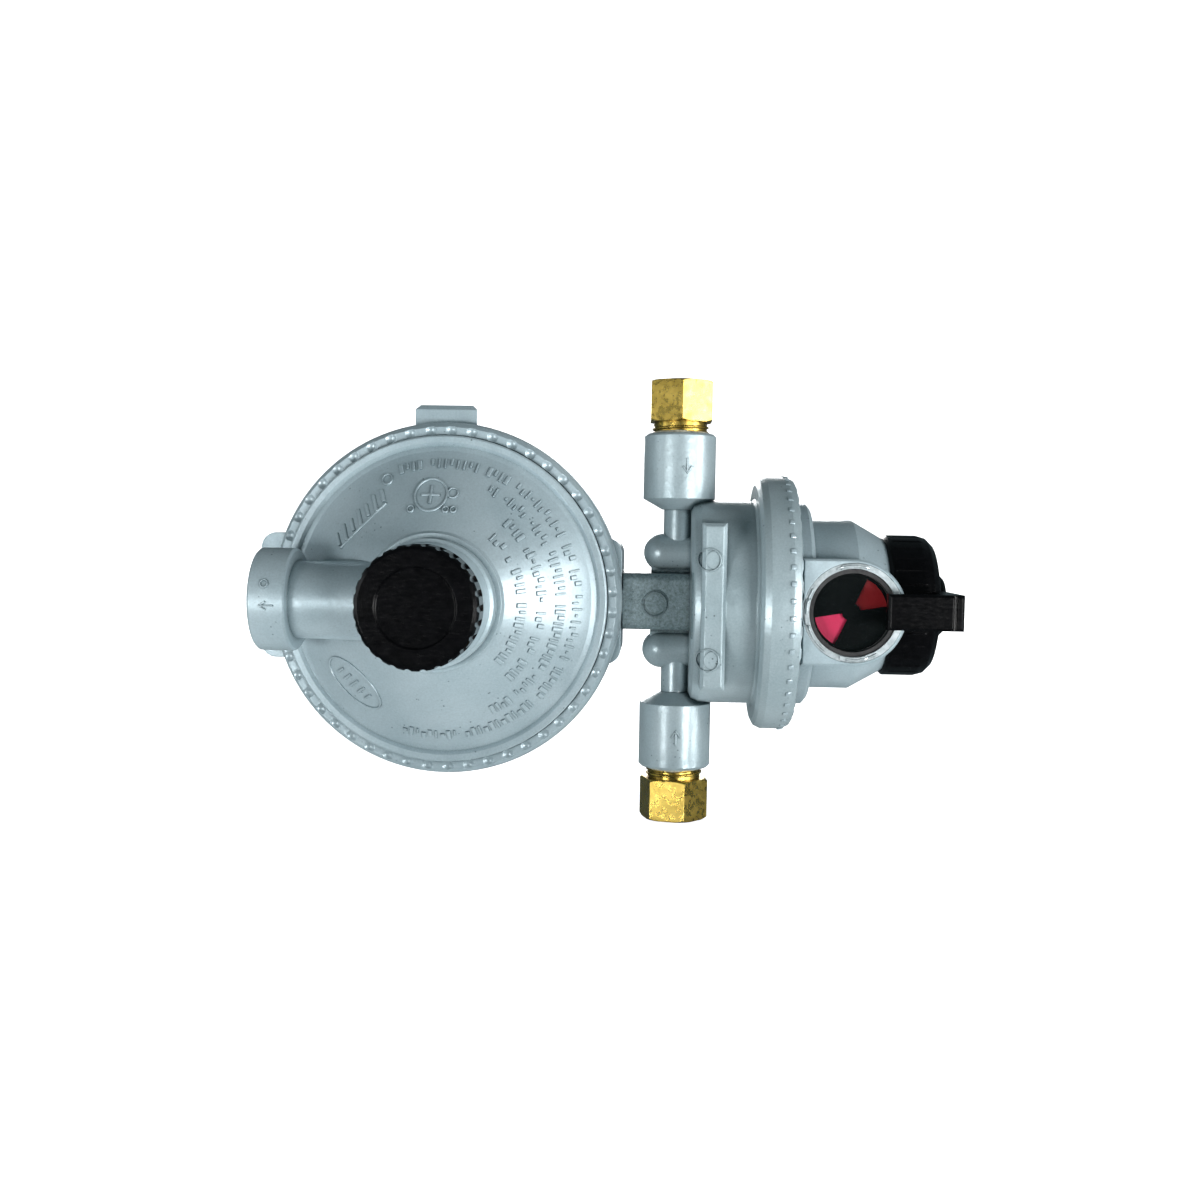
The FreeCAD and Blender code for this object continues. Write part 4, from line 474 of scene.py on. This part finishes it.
def bonnet_marks():
    front = Surface(BONNET_TREE, Y_AXIS, X_AXIS, Z_AXIS, Vector((0, BONNET_LOW.y, 0)))
    bm = bmesh.new()
    for row in BAR_ROWS:
        bar_row(bm, front, *row)
    ribbon(bm, front, circle(-2.0 * MM, 26.2 * MM, 4.0 * MM, 40), 0.6 * MM, MARK_HEIGHT, True)
    ribbon(bm, front, [(-2.0 * MM, 23.9 * MM), (-2.0 * MM, 28.5 * MM)], 0.7 * MM, MARK_HEIGHT)
    ribbon(bm, front, [(-4.3 * MM, 26.2 * MM), (0.3 * MM, 26.2 * MM)], 0.7 * MM, MARK_HEIGHT)
    small_rings = ((3.4, 26.7, 1.25), (-6.6, 22.6, 0.8), (2.1, 22.6, 0.7), (4.0, 22.6, 0.7), (-13.9, 30.0, 1.3))
    for u, v, r in small_rings:
        ribbon(bm, front, circle(u * MM, v * MM, r * MM, 18), 0.42 * MM, MARK_HEIGHT, True)
    word_centre, slope = (-20.0 * MM, 20.3 * MM), math.radians(45)
    lean = slope + math.radians(68)
    for k in range(7):
        half = (2.1 if k % 2 else 1.6) * MM
        slanted_bar(bm, front, word_centre, slope, (k - 3) * 2.6 * MM, half, lean, 1.0 * MM)
    underline = [(-24.6 * MM, 12.6 * MM), (-19.2 * MM, 18.0 * MM), (-13.2 * MM, 24.0 * MM)]
    ribbon(bm, front, underline, 0.6 * MM, MARK_HEIGHT)
    oval_centre, tilt = (-21.4 * MM, -21.2 * MM), math.radians(-43)
    ribbon(bm, front, oval(*oval_centre, 8.6 * MM, 3.7 * MM, tilt), 0.5 * MM, MARK_HEIGHT, True)
    lean = tilt + math.radians(75)
    for k in range(5):
        half = (1.5 - 0.25 * abs(k - 2)) * MM
        slanted_bar(bm, front, oval_centre, tilt, (k - 2) * 2.4 * MM, half, lean, 0.6 * MM)
    finish_mesh(bm, "bonnet_raised_marks", PAINT, "housing")


def flow_arrow(bm, surface, u, v, size, turn):
    """Small arrow pointing along the angle turn, measured anticlockwise from the right."""
    def spot(a, b):
        return (u + a * math.cos(turn) - b * math.sin(turn), v + a * math.sin(turn) + b * math.cos(turn))
    ribbon(bm, surface, [spot(-size, 0), spot(size * 0.8, 0)], size * 0.3, MARK_HEIGHT * 0.8)
    ribbon(bm, surface, [spot(size * 0.1, size * 0.6), spot(size, 0), spot(size * 0.1, -size * 0.6)],
           size * 0.3, MARK_HEIGHT * 0.8)


def boss_marks():
    front = Surface(CHANGEOVER_TREE, Y_AXIS, X_AXIS, Z_AXIS, Vector((INLET_X, FLOW_Y, 0)))
    bm = bmesh.new()
    flow_arrow(bm, front, 1.8 * MM, 35.2 * MM, 1.9 * MM, math.radians(-90))
    flow_arrow(bm, front, 0.2 * MM, -35.2 * MM, 1.9 * MM, math.radians(90))
    ribbon(bm, front, circle(-5.9 * MM, -0.6 * MM, 3.1 * MM, 36), 0.45 * MM, MARK_HEIGHT, True)
    finish_mesh(bm, "inlet_flow_arrows", SLOT_MATERIALS["cast_neck"], "housing")


def flange_crimps():
    """Row of pressed pips round the edge of the changeover flange, where its lip is closed over."""
    lip_x = FLANGE_END_X - 2.5 * MM
    bm = bmesh.new()
    for i in range(CRIMP_COUNT):
        t = math.tau * (i + 0.5) / CRIMP_COUNT
        out = Vector((0, math.cos(t), math.sin(t)))
        tangent = X_AXIS.cross(out)
        side = Surface(CHANGEOVER_TREE, -out, X_AXIS, tangent, Vector((lip_x, FLOW_Y, 0)))
        ribbon(bm, side, [(-0.6 * MM, 0), (0.0, 0), (0.6 * MM, 0)], 1.3 * MM, 0.28 * MM)
    finish_mesh(bm, "flange_crimps", PAINT, "housing")


def pad_marks():
    """Pin marks on the flat pad of the changeover body."""
    front = Surface(CHANGEOVER_TREE, Y_AXIS, X_AXIS, Z_AXIS, Vector((INLET_X, FLOW_Y, 0)))
    bm = bmesh.new()
    for v in (11.5 * MM, -13.0 * MM):
        ribbon(bm, front, circle(7.3 * MM, v, 2.7 * MM, 36), 0.45 * MM, MARK_HEIGHT, True)
    finish_mesh(bm, "pad_pin_marks", SLOT_MATERIALS["cast_neck"], "housing")


def bezel_notches():
    """Short raised arcs round the window ring, one pair for each tab that holds it."""
    front = Surface(face_tree("lens_ring"), Y_AXIS, X_AXIS, Z_AXIS, DISC_CENTRE)
    bm = bmesh.new()
    for start, end in ((72, 112), (150, 182), (196, 236), (262, 300)):
        arc = [polar(11.4 * MM, start + (end - start) * i / 10) for i in range(11)]
        ribbon(bm, front, arc, 0.5 * MM, 0.28 * MM)
    finish_mesh(bm, "window_ring_tabs", SLOT_MATERIALS["cast_inner"], "housing")


def vent_marks():
    centre = Vector((VENT_SCREEN_X, VENT_CENTRE_Y, 0))
    front = Surface(BONNET_TREE, Y_AXIS, X_AXIS, Z_AXIS, centre)
    bm = bmesh.new()
    flow_arrow(bm, front, -6.3 * MM, -1.0 * MM, 1.7 * MM, math.radians(180))
    ribbon(bm, front, circle(-7.0 * MM, 4.2 * MM, 0.9 * MM, 16), 0.4 * MM, MARK_HEIGHT, True)
    finish_mesh(bm, "vent_flow_arrow", PAINT, "housing")


# ---------------------------------------------------------------- screw threads
def thread(name, origin, along, radius, depth, pitch, length, material, steps=40):
    """One continuous V ridge; a positive depth stands out from the radius, a negative one stands inwards."""
    side = along.orthogonal().normalized()
    other = along.cross(side)
    bm = bmesh.new()
    rows = []
    turns = (length - pitch) / pitch
    total = int(turns * steps)
    for i in range(total + 1):
        angle = math.tau * i / steps
        out = side * math.cos(angle) + other * math.sin(angle)
        fade = min(1.0, i / (steps / 3), (total - i) / (steps / 3))
        at = origin + along * (pitch * 0.5 + pitch * i / steps)
        sunk = -math.copysign(0.12 * MM, depth)
        row = []
        for shift, level in ((-0.42, sunk), (-0.10, depth * fade), (0.10, depth * fade), (0.42, sunk)):
            row.append(bm.verts.new(at + along * pitch * shift + out * (radius + level)))
        rows.append(row)
    for a, b in zip(rows, rows[1:]):
        for k in range(4):
            bm.faces.new((a[k], a[(k + 1) % 4], b[(k + 1) % 4], b[k]))
    bm.faces.new(rows[0])
    bm.faces.new(rows[-1])
    finish_mesh(bm, name, material, "housing", smooth=True)


def sealant_ring(name, at, direction):
    """Uneven bead round the fitting at the mouth of its boss."""
    bm = bmesh.new()
    ring_count, wire_count = 72, 8
    rows = []
    for i in range(ring_count):
        t = math.tau * i / ring_count
        swell = 0.50 + 0.16 * math.sin(3 * t + 0.7) + 0.10 * math.sin(7 * t)
        row = []
        for k in range(wire_count):
            w = math.tau * k / wire_count
            r = (7.05 + swell * math.cos(w)) * MM
            z = direction * (0.15 + 0.75 * swell * math.sin(w)) * MM
            row.append(bm.verts.new(at + Vector((r * math.cos(t), r * math.sin(t), z))))
        rows.append(row)
    for i in range(ring_count):
        a, b = rows[i], rows[(i + 1) % ring_count]
        for k in range(wire_count):
            bm.faces.new((a[k], a[(k + 1) % wire_count], b[(k + 1) % wire_count], b[k]))
    finish_mesh(bm, name, SEALANT, "housing", smooth=True)


SEALANT = sealant()
bonnet_marks()
boss_marks()
vent_marks()
pad_marks()
flange_crimps()
bezel_notches()
for thread_name, mouth in (("outlet_thread", Vector((OUTLET_END_X, FLOW_Y, 0))),
                           ("vent_thread", Vector((BONNET_LOW.x, VENT_CENTRE_Y, 0)))):
    thread(thread_name, mouth, X_AXIS, PIPE_BORE_R, -PIPE_DEPTH, PIPE_PITCH, PIPE_LENGTH, PAINT)
for end, sign in (("top", 1), ("bottom", -1)):
    inwards = Z_AXIS * -sign
    mouth = Vector((INLET_X, FLOW_Y, sign * INLET_END_Z))
    thread("flare_thread_" + end, mouth, inwards, FLARE_BORE_R, -FLARE_DEPTH, FLARE_PITCH, FLARE_LENGTH,
           BRASS)
    collar = mouth + inwards * HEX_HEIGHT
    thread("collar_thread_" + end, collar, inwards, COLLAR_R, COLLAR_DEPTH, COLLAR_PITCH, COLLAR_LENGTH,
           BRASS)
    sealant_ring("sealant_" + end, collar + inwards * SEALANT_SETBACK, sign)


# ---------------------------------------------------------------- floor, light and camera
def backdrop():
    """Plain floor under the object that curves up into a plain wall behind it."""
    bend, wall_y, height, half = 0.5, 1.3, 2.2, 3.0
    profile = [(-0.25, FLOOR_Z), (wall_y - bend, FLOOR_Z)]
    for i in range(1, 17):
        t = math.radians(90 * i / 16)
        profile.append((wall_y - bend + bend * math.sin(t), FLOOR_Z + bend - bend * math.cos(t)))
    profile.append((wall_y, height))
    bm = bmesh.new()
    rows = [[bm.verts.new((x, y, z)) for y, z in profile] for x in (-half, half)]
    for k in range(len(profile) - 1):
        bm.faces.new((rows[0][k], rows[0][k + 1], rows[1][k + 1], rows[1][k]))
    mesh = bpy.data.meshes.new("backdrop")
    bm.to_mesh(mesh)
    bm.free()
    for face in mesh.polygons:
        face.use_smooth = True
    obj = bpy.data.objects.new("backdrop", mesh)
    bpy.context.scene.collection.objects.link(obj)
    s = Shader("backdrop_paper", Roughness=0.9)
    s.surface.inputs["Specular IOR Level"].default_value = 0.1
    s.surface.inputs["Emission Color"].default_value = (1, 1, 1, 1)
    s.surface.inputs["Emission Strength"].default_value = 0.95
    s.link(s.ramp(s.noise(0.03, 3.0), [(0.3, 0.88), (0.7, 0.90)]), "Base Color")
    dress(obj, s.material)
    obj.visible_glossy = False


def surround():
    """Plain white studio seen behind the object from every side. It lights nothing and casts no shadow."""
    bm = bmesh.new()
    bmesh.ops.create_icosphere(bm, subdivisions=4, radius=4.0)
    mesh = bpy.data.meshes.new("surround")
    bm.to_mesh(mesh)
    bm.free()
    obj = bpy.data.objects.new("surround", mesh)
    bpy.context.scene.collection.objects.link(obj)
    s = Shader("surround_white", Base_Color=(0, 0, 0, 1), Specular_IOR_Level=0.0)
    s.surface.inputs["Emission Color"].default_value = (1, 1, 1, 1)
    s.surface.inputs["Emission Strength"].default_value = 1.0
    dress(obj, s.material)
    obj.visible_diffuse = False
    obj.visible_glossy = False
    obj.visible_transmission = False
    obj.visible_shadow = False


def softbox(name, place, target, width, height, power, colour=(1, 1, 1)):
    light = bpy.data.lights.new(name, "AREA")
    light.shape = "RECTANGLE"
    light.size = width
    light.size_y = height
    light.energy = power
    light.color = colour
    obj = bpy.data.objects.new(name, light)
    obj.location = place
    obj.rotation_euler = (Vector(target) - Vector(place)).to_track_quat("-Z", "Y").to_euler()
    bpy.context.scene.collection.objects.link(obj)


def camera():
    eye = Vector((0.0537, -0.358, 0.0176))
    target = Vector((0.0391, -0.018, -0.0002))
    data = bpy.data.cameras.new("camera")
    data.sensor_width = 36.0
    data.lens = 38.55
    data.clip_start = 0.01
    obj = bpy.data.objects.new("camera", data)
    back = (eye - target).normalized()
    roll = math.radians(1.0)
    up = Vector((-math.sin(roll), 0, math.cos(roll)))
    right = up.cross(back).normalized()
    up = back.cross(right)
    obj.matrix_world = Matrix.Translation(eye) @ Matrix((right, up, back)).transposed().to_4x4()
    bpy.context.scene.collection.objects.link(obj)
    bpy.context.scene.camera = obj


def world():
    made = bpy.data.worlds.new("studio")
    made.use_nodes = True
    background = made.node_tree.nodes["Background"]
    background.inputs["Color"].default_value = (0.50, 0.66, 0.72, 1)
    background.inputs["Strength"].default_value = 0.16
    bpy.context.scene.world = made


CENTRE = (0.04, -0.02, 0.0)
backdrop()
surround()
softbox("front_right_box", (0.64, -0.82, -0.13), CENTRE, 0.34, 0.24, 8.5)
softbox("front_left_box", (-0.58, -0.92, -0.13), CENTRE, 0.30, 0.24, 5.5)
softbox("right_box", (0.85, -0.36, 0.02), CENTRE, 0.30, 0.5, 5)
softbox("left_box", (-0.85, -0.30, 0.10), CENTRE, 0.3, 0.5, 1.0, (0.92, 0.97, 1.0))
softbox("back_box", (0.0, 1.0, 0.25), CENTRE, 0.5, 0.3, 3)
camera()
world()
bpy.context.scene.view_settings.view_transform = "Standard"
